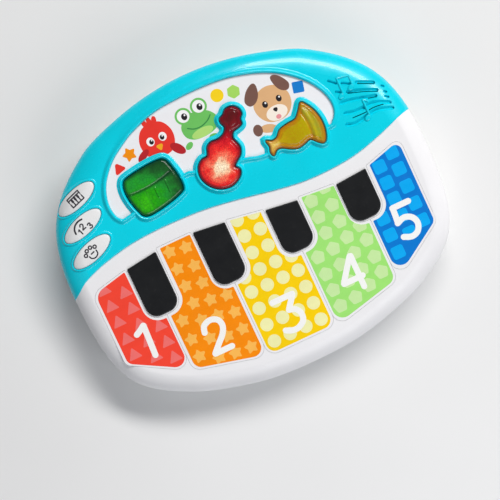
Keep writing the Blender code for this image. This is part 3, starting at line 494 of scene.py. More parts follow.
def turned(profile, place, axis="Z", sides=32):
    """A solid of revolution from (radius, height) points along an axis through place."""
    rings = []
    for radius, along in profile:
        circle = []
        for i in range(sides):
            a = math.tau * (i + 0.5) / sides
            u, v = radius * math.cos(a), radius * math.sin(a)
            offset = {"X": (along, u, v), "Y": (v, along, u), "Z": (u, v, along)}[axis]
            circle.append(tuple(p + o for p, o in zip(place, offset)))
        rings.append(circle)
    return stack(rings)


def cylinder(centre, radius, low, high, sides=32):
    return turned([(radius, low), (radius, high)], (centre[0], centre[1], 0), "Z", sides)


def case_form(wide, inset, rise, base):
    """The outer form of the top shell moved in by inset, with its deck at rise and its walls down to base."""
    rings = [ring(grown(CASE, -inset - WALL_LEAN), base)]
    for step in range(SHOULDER_STEPS, -1, -1):
        share = math.sin(math.pi / 2 * step / SHOULDER_STEPS)
        loop = grown(CASE, -inset - (wide - inset) * (1 - share))
        rings.append(ring(loop, deck(rise - (SHOULDER_HIGH - inset) * shoulder_drop(share))))
    return stack(rings)


def sweep(line, section, surface, half):
    """A strip along an open line with round ends.

    Its section lists (side, height) points, with side as a share of half.
    """
    line = [Vector(point) for point in line]
    lengths = [0.0]
    for a, b in zip(line, line[1:]):
        lengths.append(lengths[-1] + (b - a).length)
    total = lengths[-1]
    ends = [half * share for share in (0.02, 0.15, 0.4, 0.7, 1.0)]
    between = [ends[-1] + (total - 2 * half) * k / 12 for k in range(1, 12)]
    rings = []
    for distance in ends + between + [total - end for end in reversed(ends)]:
        k = max(i for i in range(len(line) - 1) if lengths[i] <= distance)
        along = (line[k + 1] - line[k]).normalized()
        if 0 < k < len(line) - 2:
            along = (line[k + 2] - line[k - 1]).normalized()
        point = line[k].lerp(line[k + 1], (distance - lengths[k]) / (lengths[k + 1] - lengths[k]))
        near = min(distance, total - distance, half) / half
        width = half * math.sqrt(1 - (1 - near) ** 2)
        across = Vector((-along.y, along.x)) * width
        height = surface(point.x, point.y)
        rings.append([(*(point + across * side), height + rise) for side, rise in section])
    return stack(rings)


def cap(outline, base, top, spacing=0.8, insets=(0.12, 0.35, 0.7, 1.1, 1.6), shadow=None):
    """A solid with upright walls.

    The height and the shadow of its top depend on x, y and the distance to its edge.
    """
    edge = [Vector(point) for point in outline]
    count = len(edge)
    points = []
    for inset in insets:
        moved = grown(evenly(edge, count), -inset)
        kept = (clearance(moved, edge) > inset * 0.95) & inside(moved, edge)
        points += [point for point, good in zip(moved, kept) if good]
    low = [min(p[k] for p in edge) for k in (0, 1)]
    high = [max(p[k] for p in edge) for k in (0, 1)]
    grid = [Vector((x, y)) for x in np.arange(low[0], high[0], spacing)
            for y in np.arange(low[1], high[1], spacing)]
    kept = (clearance(grid, edge) > insets[-1] + 0.4 * spacing) & inside(grid, edge)
    points += [point for point, good in zip(grid, kept) if good]
    flat, _, faces, sources, _, _ = delaunay_2d_cdt(edge + points, [], [list(range(count))], 1, 1e-6)
    distance = clearance(flat, edge)
    found = {source: i for i, origins in enumerate(sources) for source in origins}
    rim = [found[i] for i in range(count)]
    distance[rim] = 0.0
    upper = [(p.x, p.y, top(p.x, p.y, d)) for p, d in zip(flat, distance)]
    lower = ring([flat[i] for i in rim], base)
    faces = [tuple(face) for face in faces]
    start = len(upper)
    for i in range(count):
        j = (i + 1) % count
        faces.append((start + i, start + j, rim[j], rim[i]))
    faces.append(tuple(start + i for i in reversed(range(count))))
    made = solid(upper + lower, faces)
    dark = [shadow(p.x, p.y, d) if shadow else 0.0 for p, d in zip(flat, distance)]
    for name, values in (("rim_distance", distance), ("shadow", dark)):
        shares = made.data.attributes.new(name, "FLOAT", "POINT")
        shares.data.foreach_set("value", np.append(values, np.zeros(count)).astype(np.float32))
    return made


def edge_fall(distance, radius):
    """How far a rounded edge lies below its top at a distance from the outline."""
    left = max(radius - distance, 0.0)
    return radius - math.sqrt(radius**2 - left**2)


def bump(value, width):
    """1 on a line and 0 from the given distance on."""
    share = min(abs(value) / width, 1.0)
    return (1 - share * share) ** 2


def merged(parts):
    """One object that holds several closed solids."""
    points, faces = [], []
    for part in parts:
        start = len(points)
        points += [vertex.co / MM for vertex in part.data.vertices]
        faces += [tuple(start + i for i in face.vertices) for face in part.data.polygons]
        bpy.data.objects.remove(part)
    return solid(points, faces)


def combine(operation, body, *others):
    """Unites body with the others, or cuts or crosses it by them, and drops the others."""
    for other in others:
        change = body.modifiers.new(operation, "BOOLEAN")
        change.operation = operation
        change.solver = "EXACT"
        change.object = other
    shape = body.evaluated_get(bpy.context.evaluated_depsgraph_get())
    result = bpy.data.meshes.new_from_object(shape)
    body.modifiers.clear()
    body.data = result
    for other in others:
        bpy.data.objects.remove(other)
    return body


def unite(body, *others):
    return combine("UNION", body, *others)


def cut(body, *others):
    return combine("DIFFERENCE", body, *others)


def cross(body, *others):
    return combine("INTERSECT", body, *others)


SHARP = math.radians(32)


def piece(made, name, look, body, slot, *nodes):
    """Names and shades a piece, lets it ride on its body and hides the frame's nodes that it stands for."""
    mesh = made.data
    made.name = mesh.name = name
    mesh.materials.clear()
    mesh.materials.append(look)
    mesh.shade_smooth()
    mesh.set_sharp_from_angle(angle=SHARP)
    normals = made.modifiers.new("normals", "WEIGHTED_NORMAL")
    normals.keep_sharp = True
    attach(made, body)
    if nodes:
        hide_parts(*nodes)
    return made


# ---- materials --------------------------------------------------------------------------------------------


def linear(red, green, blue):
    """A display colour (0 to 255) as scene-linear values."""
    shares = [value / 255 for value in (red, green, blue)]
    return tuple(s / 12.92 if s <= 0.04045 else ((s + 0.055) / 1.055) ** 2.4 for s in shares)


def shade(colour, factor):
    return tuple(min(value * factor, 1.0) for value in colour) + (1.0,)


def add(tree, kind, inputs, **settings):
    """Adds a shader node. An input is a plain value or another node's output."""
    made = tree.nodes.new(kind)
    for key, value in settings.items():
        setattr(made, key, value)
    for key, value in inputs.items():
        if isinstance(value, bpy.types.NodeSocket):
            tree.links.new(value, made.inputs[key])
        else:
            made.inputs[key].default_value = value
    return made


def blank(name):
    look = bpy.data.materials.new(name)
    look.use_nodes = True
    tree = look.node_tree
    place = add(tree, "ShaderNodeTexCoord", {}).outputs["Object"]
    return look, tree, tree.nodes["Principled BSDF"], place


def noise(tree, place, scale, detail=3.0, roughness=0.55):
    inputs = {"Vector": place, "Scale": scale, "Detail": detail, "Roughness": roughness}
    return add(tree, "ShaderNodeTexNoise", inputs).outputs["Fac"]


def between(tree, value, low, high, start=0.3, end=0.7):
    inputs = {"Value": value, "From Min": start, "From Max": end, "To Min": low, "To Max": high}
    return add(tree, "ShaderNodeMapRange", inputs).outputs["Result"]


def mix(tree, share, first, second):
    return add(tree, "ShaderNodeMix", {0: share, 6: first, 7: second}, data_type="RGBA").outputs[2]


def colour_with(tree, shader, tone):
    tree.links.new(tone, shader.inputs["Base Color"])


def gloss(tree, shader, value, low, high):
    """Roughness that runs from low to high with a value."""
    tree.links.new(between(tree, value, low, high), shader.inputs["Roughness"])


def set_inputs(shader, **values):
    """Plain values of the shader's inputs, each under its name in lower case with _ for a space."""
    inputs = {key.lower().replace(" ", "_"): key for key in shader.inputs.keys()}
    for name, value in values.items():
        shader.inputs[inputs[name]].default_value = value


def relief(tree, shader, height, strength, distance, before=None):
    inputs = {"Height": height, "Strength": strength, "Distance": distance}
    if before is not None:
        inputs["Normal"] = before
    made = add(tree, "ShaderNodeBump", inputs).outputs["Normal"]
    tree.links.new(made, shader.inputs["Normal"])
    return made


SPECULAR = 0.3  # how strongly plastic and ink mirror the room
COAT_ROUGHNESS = 0.08  # of the clear film that lies on glossy plastic


def plastic(name, colour, roughness, grain=0.1, grain_size=0.5, mottle=0.035, coat=0.0, metallic=0.0,
            dust=0.0):
    """Moulded plastic: faint clouds in the colour, uneven gloss, a fine grain and long soft ripples."""
    look, tree, shader, place = blank(name)
    colour = linear(*colour)
    clouds = noise(tree, place, 28.0)
    tone = mix(tree, between(tree, clouds, 0.0, 1.0), shade(colour, 1 - mottle), shade(colour, 1 + mottle))
    if dust:
        specks = between(tree, noise(tree, place, 420.0, 6.0, 0.7), 0.0, dust, 0.6, 0.78)
        tone = mix(tree, specks, tone, (0.62, 0.6, 0.56, 1.0))
    colour_with(tree, shader, tone)
    smears = noise(tree, place, 75.0, 5.0, 0.65)
    gloss(tree, shader, smears, roughness * 0.82, roughness * 1.22)
    ripple = relief(tree, shader, noise(tree, place, 90.0, 1.0), 0.05, 0.0006)
    relief(tree, shader, noise(tree, place, 1000.0 / grain_size, 2.0), grain, 0.00008, ripple)
    set_inputs(shader, specular_ior_level=SPECULAR, coat_weight=coat, coat_roughness=COAT_ROUGHNESS,
             metallic=metallic)
    return look


def ink(name, colour, roughness=0.34, mottle=0.03):
    """Printed ink: a flat colour with a faint screen of dots and a slightly uneven film."""
    look, tree, shader, place = blank(name)
    colour = linear(*colour)
    dots = add(tree, "ShaderNodeTexVoronoi", {"Vector": place, "Scale": 1900.0, "Randomness": 0.15})
    screen = between(tree, dots.outputs["Distance"], 1 - mottle, 1 + mottle * 0.6, 0.1, 0.7)
    film = between(tree, noise(tree, place, 60.0), 1 - mottle, 1 + mottle)
    strength = add(tree, "ShaderNodeMath", {0: screen, 1: film}, operation="MULTIPLY").outputs[0]
    tone = add(tree, "ShaderNodeVectorMath", {0: colour, "Scale": strength}, operation="SCALE").outputs[0]
    colour_with(tree, shader, tone)
    gloss(tree, shader, noise(tree, place, 130.0), roughness * 0.85, roughness * 1.15)
    set_inputs(shader, specular_ior_level=SPECULAR)
    relief(tree, shader, noise(tree, place, 1500.0, 2.0), 0.08, 0.00005)
    return look


def lit_plastic(name, stops, centre, reach, edge_shade_colour, edge_shade_width, cells, crackle, glow):
    """Clear tinted plastic over a lamp: a painted glow that fades from a centre, moulded cells and painted edge
    shade.
    """
    look, tree, shader, place = blank(name)
    lamp = tuple(value * MM for value in centre)
    apart = add(tree, "ShaderNodeVectorMath", {0: place, 1: lamp}, operation="DISTANCE").outputs["Value"]
    cell = {"Vector": place, "Scale": cells, "Randomness": 0.85}
    facet = add(tree, "ShaderNodeTexVoronoi", cell).outputs["Distance"]
    wall = add(tree, "ShaderNodeTexVoronoi", cell, feature="DISTANCE_TO_EDGE").outputs["Distance"]
    cloud = between(tree, noise(tree, place, 170.0, 4.0), -0.09, 0.09)
    share = between(tree, apart, 0.0, 1.0, 0.0, reach * MM)
    share = add(tree, "ShaderNodeMath", {0: share, 1: cloud}, operation="ADD").outputs[0]
    ramp = add(tree, "ShaderNodeValToRGB", {"Fac": share})
    points = ramp.color_ramp.elements
    while len(points) < len(stops):
        points.new(0.5)
    for point, (position, colour) in zip(points, stops):
        point.position = position
        point.color = (*linear(*colour), 1.0)
    # the colour of the cell lines and of the painted shade at the edge and where the shadow attribute says
    cell_line_and_shade_colour = (*linear(*edge_shade_colour), 1.0)
    lines = between(tree, wall, crackle, 0.0, 0.0, 0.12)
    tone = mix(tree, lines, ramp.outputs["Color"], cell_line_and_shade_colour)
    shadow = add(tree, "ShaderNodeAttribute", {}, attribute_name="shadow").outputs["Fac"]
    # painted shade where the shadow attribute says
    tone = mix(tree, shadow, tone, cell_line_and_shade_colour)
    rim = add(tree, "ShaderNodeAttribute", {}, attribute_name="rim_distance").outputs["Fac"]
    # painted shade along the lens's edge, darkest near the edge and gone at the given width
    tone = mix(tree, between(tree, rim, 0.95, 0.0, 0.3, edge_shade_width), tone, cell_line_and_shade_colour)
    colour_with(tree, shader, tone)
    tree.links.new(tone, shader.inputs["Emission Color"])
    set_inputs(shader, emission_strength=glow, specular_ior_level=SPECULAR, coat_weight=0.3,
             coat_roughness=COAT_ROUGHNESS)
    gloss(tree, shader, noise(tree, place, 200.0), 0.14, 0.26)
    wave = relief(tree, shader, noise(tree, place, 160.0, 2.0), 0.2, 0.0006)
    relief(tree, shader, facet, 0.2, 0.0003, wave)
    return look


def metal(name, colour, roughness, brushed=260.0):
    look, tree, shader, place = blank(name)
    colour = linear(*colour)
    stretched = add(tree, "ShaderNodeMapping",
                    {"Vector": place, "Scale": (brushed, brushed * 14, brushed * 14)})
    lines = noise(tree, stretched.outputs["Vector"], 1.0, 4.0)
    stains = noise(tree, place, 120.0, 4.0)
    colour_with(tree, shader, mix(tree, stains, shade(colour, 0.82), shade(colour, 1.1)))
    gloss(tree, shader, lines, roughness * 0.7, roughness * 1.4)
    set_inputs(shader, metallic=1.0)
    relief(tree, shader, lines, 0.12, 0.00005)
    return look


def board(name):
    """A circuit board: green lacquer over copper tracks and pads."""
    look, tree, shader, place = blank(name)
    bricks = {"Vector": place, "Scale": 120.0, "Mortar Size": 0.02, "Brick Width": 0.9, "Row Height": 0.28,
              "Color1": (0.0, 0.0, 0.0, 1.0), "Color2": (0.0, 0.0, 0.0, 1.0), "Mortar": (1.0, 1.0, 1.0, 1.0)}
    tracks = add(tree, "ShaderNodeTexBrick", bricks).outputs["Color"]
    dots = add(tree, "ShaderNodeTexVoronoi", {"Vector": place, "Scale": 260.0}).outputs["Distance"]
    pads = between(tree, dots, 1.0, 0.0, 0.12, 0.16)
    green = mix(tree, tracks, (0.01, 0.11, 0.035, 1.0), (0.03, 0.22, 0.07, 1.0))
    colour_with(tree, shader, mix(tree, pads, green, (0.55, 0.48, 0.3, 1.0)))
    gloss(tree, shader, noise(tree, place, 90.0), 0.25, 0.45)
    relief(tree, shader, pads, 0.3, 0.0001)
    return look


def rubber(name, colour, roughness=0.75):
    look, tree, shader, place = blank(name)
    colour = linear(*colour)
    bloom = noise(tree, place, 180.0, 6.0, 0.7)
    colour_with(tree, shader, mix(tree, bloom, shade(colour, 0.75), shade(colour, 1.35)))
    gloss(tree, shader, bloom, roughness * 0.85, roughness * 1.1)
    relief(tree, shader, noise(tree, place, 2600.0, 3.0), 0.35, 0.0001)
    return look


def banded(name, low, high, first, second, count, axis, roughness, metallic=0.0):
    """Stripes across one axis between two places, such as a cell's jacket or a flat cable's wires."""
    look, tree, shader, place = blank(name)
    parts = add(tree, "ShaderNodeSeparateXYZ", {"Vector": place}).outputs
    share = between(tree, parts[axis], 0.0, count, low * MM, high * MM)
    share = add(tree, "ShaderNodeMath", {0: share}, operation="FRACT").outputs[0]
    band = add(tree, "ShaderNodeMath", {0: share, 1: 0.62}, operation="GREATER_THAN").outputs[0]
    fibre = between(tree, noise(tree, place, 400.0, 4.0), 0.85, 1.1)
    tone = mix(tree, band, (*linear(*first), 1.0), (*linear(*second), 1.0))
    tone = add(tree, "ShaderNodeVectorMath", {0: tone, "Scale": fibre}, operation="SCALE").outputs[0]
    colour_with(tree, shader, tone)
    gloss(tree, shader, noise(tree, place, 200.0), roughness * 0.8, roughness * 1.2)
    set_inputs(shader, metallic=metallic)
    relief(tree, shader, noise(tree, place, 900.0), 0.12, 0.0001)
    return look


TEAL = plastic("teal_moulded", (0, 214, 234), 0.26, grain=0.05, mottle=0.03, coat=0.25)
WHITE = plastic("white_moulded", (242, 241, 243), 0.33, grain=0.05, mottle=0.015, coat=0.1)
MODE_WHITE = plastic("mode_button_white", (238, 238, 238), 0.36, grain=0.05, mottle=0.02, coat=0.1)
BASE = plastic("base_moulded", (228, 230, 228), 0.48, grain=0.55, grain_size=0.9, mottle=0.03, dust=0.25)
LABEL = ink("label_white", (242, 241, 244), 0.32, 0.01)
BLACK = plastic("black_moulded", (24, 25, 27), 0.36, grain=0.1, mottle=0.12, dust=0.03)
KNOB = plastic("knob_black", (34, 35, 37), 0.5, grain=0.5, mottle=0.15, dust=0.1)
FRAME_GREY = plastic("frame_grey", (176, 178, 182), 0.5, grain=0.5, mottle=0.05, dust=0.1)
CHIP = plastic("chip_epoxy", (36, 36, 38), 0.55, grain=0.7, grain_size=0.3, mottle=0.2)
FERRITE = plastic("ferrite_rough", (70, 70, 74), 0.6, grain=0.9, grain_size=0.6, mottle=0.2)
PAPER = plastic("cone_paper", (58, 58, 60), 0.85, grain=1.0, grain_size=0.7, mottle=0.3)
LED = plastic("led_epoxy", (236, 240, 243), 0.12, grain=0.1, mottle=0.05, coat=0.5)
STEEL = metal("steel_brushed", (190, 191, 193), 0.3)
NICKEL = metal("nickel_plate", (206, 200, 184), 0.25, 180.0)
BOARD = board("circuit_board")
DOME_RUBBER = rubber("dome_rubber", (150, 152, 154))
FOOT_RUBBER = rubber("foot_rubber_fine", (62, 64, 66), 0.82)
CABLE = banded("ribbon_wires", -8.0, 2.0, (176, 178, 182), (120, 122, 128), 8.0, 0, 0.5)
JACKET = banded("cell_jacket_bands", 30.0, 90.0, (44, 46, 52), (196, 160, 84), 1.0, 1, 0.35, 0.4)
# each lens: ramp of its painted glow, lamp place, glow reach, painted edge shade colour and width, cell scale,
# cell line strength, glow strength
DRUM_LIT = lit_plastic(
    "drum_green_lit",
    [(0.0, (58, 186, 14)), (0.22, (34, 158, 12)), (0.42, (32, 150, 46)), (0.62, (30, 96, 38)),
     (0.8, (26, 70, 34)), (1.0, (24, 52, 30))],
    (-65, 42, 50), 44.0, (4, 54, 24), 3.4, 420.0, 0.34, 0.14,
)
VIOLIN_LIT = lit_plastic(
    "violin_red_lit",
    [(0.0, (252, 234, 200)), (0.1, (248, 204, 164)), (0.2, (246, 116, 88)), (0.32, (240, 48, 42)),
     (0.52, (204, 20, 36)), (0.7, (122, 18, 26)), (0.95, (84, 20, 22))],
    (-2.5, 43.5, 50), 40.0, (112, 2, 22), 2.8, 640.0, 0.5, 0.2,
)
HORN_LIT = lit_plastic(
    "horn_amber_lit",
    [(0.0, (250, 232, 122)), (0.2, (190, 164, 8)), (0.45, (170, 148, 0)), (0.8, (178, 164, 0)),
     (1.0, (158, 160, 40))],
    (38, 42, 50), 38.0, (176, 96, 0), 3.6, 480.0, 0.3, 0.14,
)
KEY_COLOURS = [  # each key's name, its ground and its pattern
    ("red", (252, 72, 52), (247, 116, 112)), ("orange", (254, 142, 0), (255, 188, 86)),
    ("yellow", (255, 212, 0), (246, 244, 178)), ("green", (162, 232, 118), (202, 238, 166)),
    ("blue", (0, 122, 212), (0, 172, 246)),
]
KEY_INKS = [(ink(f"ink_{name}", ground), ink(f"ink_{name}_light", light))
            for name, ground, light in KEY_COLOURS]
DIGIT_INK = ink("ink_white", (250, 250, 248), 0.32, 0.01)
ICON_INK = ink("ink_icon", (62, 60, 66))
PRINT_COLOURS = {
    "red": (236, 56, 46), "dark_red": (186, 38, 44), "pupil": (38, 34, 38), "beak": (248, 174, 34),
    "orange": (250, 148, 16), "frog": (112, 196, 98), "frog_dark": (62, 140, 74),
    "frog_light": (178, 222, 120), "yellow": (252, 214, 30), "green": (168, 220, 100),
    "tan": (226, 178, 128), "brown": (122, 88, 78), "pink": (240, 150, 156), "blue": (18, 124, 208),
}
PAINTS = {name: ink(f"print_{name}", colour) for name, colour in PRINT_COLOURS.items()}
PAINTS["eye"] = ink("print_eye", (250, 250, 250), mottle=0.01)
PAINTS["cream"] = ink("print_cream", (252, 240, 226), mottle=0.015)


# ---- case -------------------------------------------------------------------------------------------------


def hollow_shell(wide, rise, bosses, *inner_walls):
    hollow = case_form(wide, WALL, rise - WALL, SPLIT_Z - 5)
    cut(hollow, *[cylinder(place, BOSS_RADIUS, SPLIT_Z, TOP_Z, 24) for place in bosses], *inner_walls)
    shell = cut(case_form(wide, 0, rise, SPLIT_Z + SPLIT_GAP / 2), hollow)
    return cut(shell, *[cylinder(place, SCREW_HOLE, 0, SCREW_TOP_Z + 2, 16) for place in bosses])


def seam_block(side, edge_round):
    """A tall block on one side of the seam. Its edge flares over the cover's surface to round it."""
    line = curve(SEAM, 6)
    far = 200 * side
    rings = []
    levels = [(0.0, -TOP_Z)]
    if edge_round:
        levels.append((0.0, -edge_round))
        for turn in (math.pi / 2 * step / 4 for step in range(1, 5)):
            levels.append((edge_round * (1 - math.cos(turn)), edge_round * (math.sin(turn) - 1)))
    levels.append((edge_round, TOP_Z))
    for shift, rise in levels:
        moved = [(x, y - side * (shift - SEAM_GAP)) for x, y in line]
        moved += [(line[-1][0], far), (line[0][0], far)]
        level = teal_surface(rise) if abs(rise) < TOP_Z else rise
        rings.append(ring(moved, level))
    return stack(rings)


def held(loop, border):
    """The loop with the points that lie outside a border moved onto it."""
    start = np.array([tuple(point) for point in border])
    side = np.roll(start, -1, 0) - start
    result = []
    for point, good in zip(loop, inside(loop, border)):
        share = np.clip(((np.array(point) - start) * side).sum(1) / (side**2).sum(1), 0, 1)
        feet = start + share[:, None] * side
        nearest = feet[np.argmin(((feet - np.array(point)) ** 2).sum(1))]
        result.append(point if good else Vector(nearest))
    return result


def case_border(inset):
    """The case's outline moved in by inset, with many points, for held."""
    return evenly(grown(CASE, -inset), 6 * CASE_SIDES)


HOOP_POINTS = 220
LIP_INSIDE = 0.7  # how far the lips stay within the case's outline
MODE_HOLE_INSIDE = 1.6  # and how far the holes of the mode buttons do


def hoop(loop, profile, level):
    """A closed raised lip round a loop. Its profile lists (distance outward, height) points."""
    border = case_border(LIP_INSIDE)
    rings = []
    for distance, height in profile:
        edge = outset(loop, distance, HOOP_POINTS) if distance > 0 else evenly(loop, HOOP_POINTS)
        rings.append(ring(held(edge, border), level(height)))
    return stack(rings, closed=True)


OUTLINES = {
    "drum_button": smooth(DRUM, 8),
    "violin_button": smooth(VIOLIN, 5),
    "horn_button": smooth(HORN, 6),
}
GROOVES = [  # the wavy lines of the speaker grille
    [(93.5, 33), (100, 30.8), (107, 31.3), (118, 33.2), (125, 31.9), (132.4, 29.3)],
    [(95.8, 41), (103.6, 39), (111.6, 38.8), (118, 39.1), (125, 37.2), (132.2, 33.6)],
    [(96.2, 49), (103.6, 48.1), (111.6, 46.1), (119.4, 43.9), (124.6, 42.8)],
    [(128.9, 40.4), (132.4, 38)],
    [(104.2, 54.6), (111.6, 52.2), (119.4, 49.4), (127.2, 46.1)],
    [(113.2, 58.4), (120, 55.6), (127.2, 52.2)],
    [(95, 68.2), (100.8, 63)],
    [(97, 58.4), (101, 55.8)],
    [(103.4, 62.4), (110.4, 58.4)],
    [(130, 48.8), (132.5, 46.6)],
    [(130, 44.2), (132.5, 42)],
]
GROOVE_HALF = 1.75
SHORT_GROOVE_HALF = 1.2
GROOVE_SECTION = [(-1, 3), (-1, 0.1), (-0.85, -0.5), (-0.55, -1.5), (0, -2.1), (0.55, -1.5), (0.85, -0.5),
                  (1, 0.1), (1, 3)]
SLITS = [
    [(114.4, 57), (120, 54.6), (126.6, 51.5)],
    [(104.8, 53.4), (111.6, 51.2), (119.4, 48.4), (126.8, 45.2)],
    [(117.4, 43.7), (123.6, 42.2)],
    [(100.6, 35.3), (111, 35), (118, 35.8), (126, 34.9)],
]
SLIT_HALF = 0.35
SLIT_SECTION = [(-1, 3), (-1, -6), (1, -6), (1, 3)]
BEAD_SECTION = [(-1, -1.6), (-1, 0.0), (-0.85, 0.5), (-0.5, 0.85), (0, 1.0), (0.5, 0.85), (0.85, 0.5),
                (1, 0.0), (1, -1.6)]
BEAD_HALF = 0.95
NOTE_STEMS = [[(101.9, 53.4), (102.1, 67.4)], [(110.9, 56.4), (111.2, 66)], [(102, 66.8), (111.2, 65.2)],
              [(113.1, 31), (113, 45)], [(113, 44.6), (116.4, 41.6)]]
NOTE_HEADS = [(99.9, 53.2), (109, 56.2), (111.2, 30.6)]
NOTE_DOME = [(0.0, -1.6), (0.0, 0.1), (-0.25, 0.55), (-0.7, 0.9), (-1.3, 1.05)]


def crisp_deck(mesh):
    """Ends the smooth shading at the border of the flat deck, so that no shade runs across it."""
    straight_up = Vector((0, -DECK_SLOPE, 1)).normalized()
    shape = bmesh.new()
    shape.from_mesh(mesh)
    shape.normal_update()
    for edge in shape.edges:
        flat = [face.normal.dot(straight_up) > 0.99999 for face in edge.link_faces]
        if len(set(flat)) > 1:
            edge.smooth = False
    shape.to_mesh(mesh)
    shape.free()


def bezel_lip(name):
    """The profile of the raised lip round an instrument button."""
    width = BEZEL_WIDTH[name]
    crest = width - 1.2
    foot = BEZEL_FOOT[name]
    return [
        (width + foot, -3.2), (width + foot, -0.02), (width + foot * 0.6, 0.12), (width + foot * 0.2, 0.6),
        (width - 0.2, 1.3), (width - 0.7, 1.9), (crest, 2.1), (crest * 0.74, 1.95), (crest * 0.48, 1.5),
        (crest * 0.25, 0.85), (crest * 0.08, 0.2), (0, -0.4), (0, -3.2),
    ]


def make_upper_cover():
    speaker_wall = cut(
        cylinder((SPEAKER_X, SPEAKER_Y), SPEAKER_RADIUS + SPEAKER_WALL, SPEAKER_WALL_Z, TOP_Z, 48),
        cylinder((SPEAKER_X, SPEAKER_Y), SPEAKER_RADIUS, SPEAKER_WALL_Z - 1, TOP_Z + 1, 48),
    )
    cover = hollow_shell(TEAL_SHOULDER, TEAL_STEP, TEAL_BOSSES, speaker_wall)
    cut(cover, seam_block(-1, SEAM_ROUND))
    border = case_border(MODE_HOLE_INSIDE)
    mode_loops = [ellipse(place, MODE_HALF_LONG + BUTTON_GAP, MODE_HALF_SHORT + BUTTON_GAP, MODE_TURN, 96)
                  for place in MODE_BUTTONS.values()]
    for loop in mode_loops:
        cut(cover, prism(held(grown(loop, MODE_HOLE), border), teal(-20), teal(6)))
    panel = smooth(PANEL, 6)
    cut(cover, prism(grown(panel, 0.6), teal(-PANEL_DEPTH), teal(5)))
    unite(cover, hoop(panel, PANEL_RIM, teal))
    for loop in OUTLINES.values():
        cut(cover, prism(outset(loop, BUTTON_HOLE, 200), teal(-12), teal(8)))
    for name, loop in OUTLINES.items():
        unite(cover, hoop(grown(loop, BUTTON_GAP), bezel_lip(name), teal))
    surface = teal_surface(0)
    for line in GROOVES:
        half = GROOVE_HALF if len(line) > 2 else SHORT_GROOVE_HALF
        cut(cover, sweep(curve(line, 8), GROOVE_SECTION, surface, half))
    for line in SLITS:
        cut(cover, sweep(curve(line, 8), SLIT_SECTION, surface, SLIT_HALF))
    piece(cover, "upper_cover_shell", TEAL, "case", "teal_plastic", "upper_cover")
    crisp_deck(cover.data)
    for name, loop in zip(MODE_BUTTONS, mode_loops):
        piece(hoop(loop, MODE_LIP, teal_surface), f"{name}_rim", TEAL, "case", "teal_plastic")


def make_notes():
    """The music notes that stand on the grille."""
    surface = teal_surface(0)
    notes = [sweep(curve(line, 6), BEAD_SECTION, surface, BEAD_HALF) for line in NOTE_STEMS]
    for centre in NOTE_HEADS:
        head = ellipse(centre, 3.0, 2.1, math.radians(25), 28)
        rings = [ring(grown(head, out), lambda x, y, up=up: surface(x, y) + up) for out, up in NOTE_DOME]
        notes.append(stack(rings))
    piece(merged(notes), "grille_notes", TEAL, "case", "teal_plastic")


def black_outline(number):
    x = BLACK_X[number]
    rear_left, rear_right = BLACK_REAR[number]
    return rounded([
        (x - BLACK_HALF, rear_left, 0.8), (x - BLACK_HALF, BLACK_FRONT, BLACK_CORNER),
        (x + BLACK_HALF, BLACK_FRONT, BLACK_CORNER), (x + BLACK_HALF, rear_right, 0.8),
    ], 0.8)


def key_outlines():
    """The plates of the five keys, each cut away round the fingers of its black neighbours."""
    outlines = []
    notch_y = BLACK_FRONT - KEY_REACH
    for number in range(5):
        front_left, front_right = KEY_FRONT[number]
        rear_left, rear_right = KEY_REAR[number]
        corners = []
        if number == 0:
            x = KEY_OUTER_X[0]
            corners += [(x, rear_left, 9), (x, front_left, 6)]
        else:
            split, edge = BLACK_X[number - 1] + KEY_SPLIT / 2, BLACK_X[number - 1] + BLACK_HALF + KEY_REACH
            corners += [(edge, rear_left, 1), (edge, notch_y, BLACK_CORNER + KEY_REACH),
                        (split, notch_y, 0.6)]
            corners += [(split, front_left, 8)]
        if number == 4:
            x = KEY_OUTER_X[1]
            corners += [(x, front_right, 6), (x, rear_right, 5)]
        else:
            split, edge = BLACK_X[number] - KEY_SPLIT / 2, BLACK_X[number] - BLACK_HALF - KEY_REACH
            corners += [(split, front_right, 8), (split, notch_y, 0.6)]
            corners += [(edge, notch_y, BLACK_CORNER + KEY_REACH), (edge, rear_right, 1)]
        outlines.append(rounded(corners))
    return outlines


def make_keyboard_cover():
    cover = hollow_shell(WHITE_SHOULDER, 0, WHITE_BOSSES)
    cut(cover, seam_block(1, 0))
    for loop in key_outlines():
        cut(cover, prism(grown(loop, KEY_GROWTH + KEY_GAP), deck(-6), deck(5)))
    for number, x in enumerate(BLACK_X):
        cut(cover, prism(grown(black_outline(number), BLACK_GAP), deck(-BLACK_SINK - BLACK_GAP), deck(5)))
    piece(cover, "keyboard_cover_shell", WHITE, "case", "white_plastic", "keyboard_cover")


def door_outline(margin):
    half, front, back = DOOR_HALF + margin, BAY_FRONT - DOOR_LAP - margin, BAY_REAR + DOOR_LAP + margin
    ear, ear_back = DOOR_EAR_HALF + margin, DOOR_SCREW_Y + DOOR_EAR_REACH + margin
    return rounded([
        (-half, front, 2), (half, front, 2), (half, back, 2), (ear, back, 1), (ear, ear_back, 4),
        (-ear, ear_back, 4), (-ear, back, 1), (-half, back, 2),
    ], 0.6)


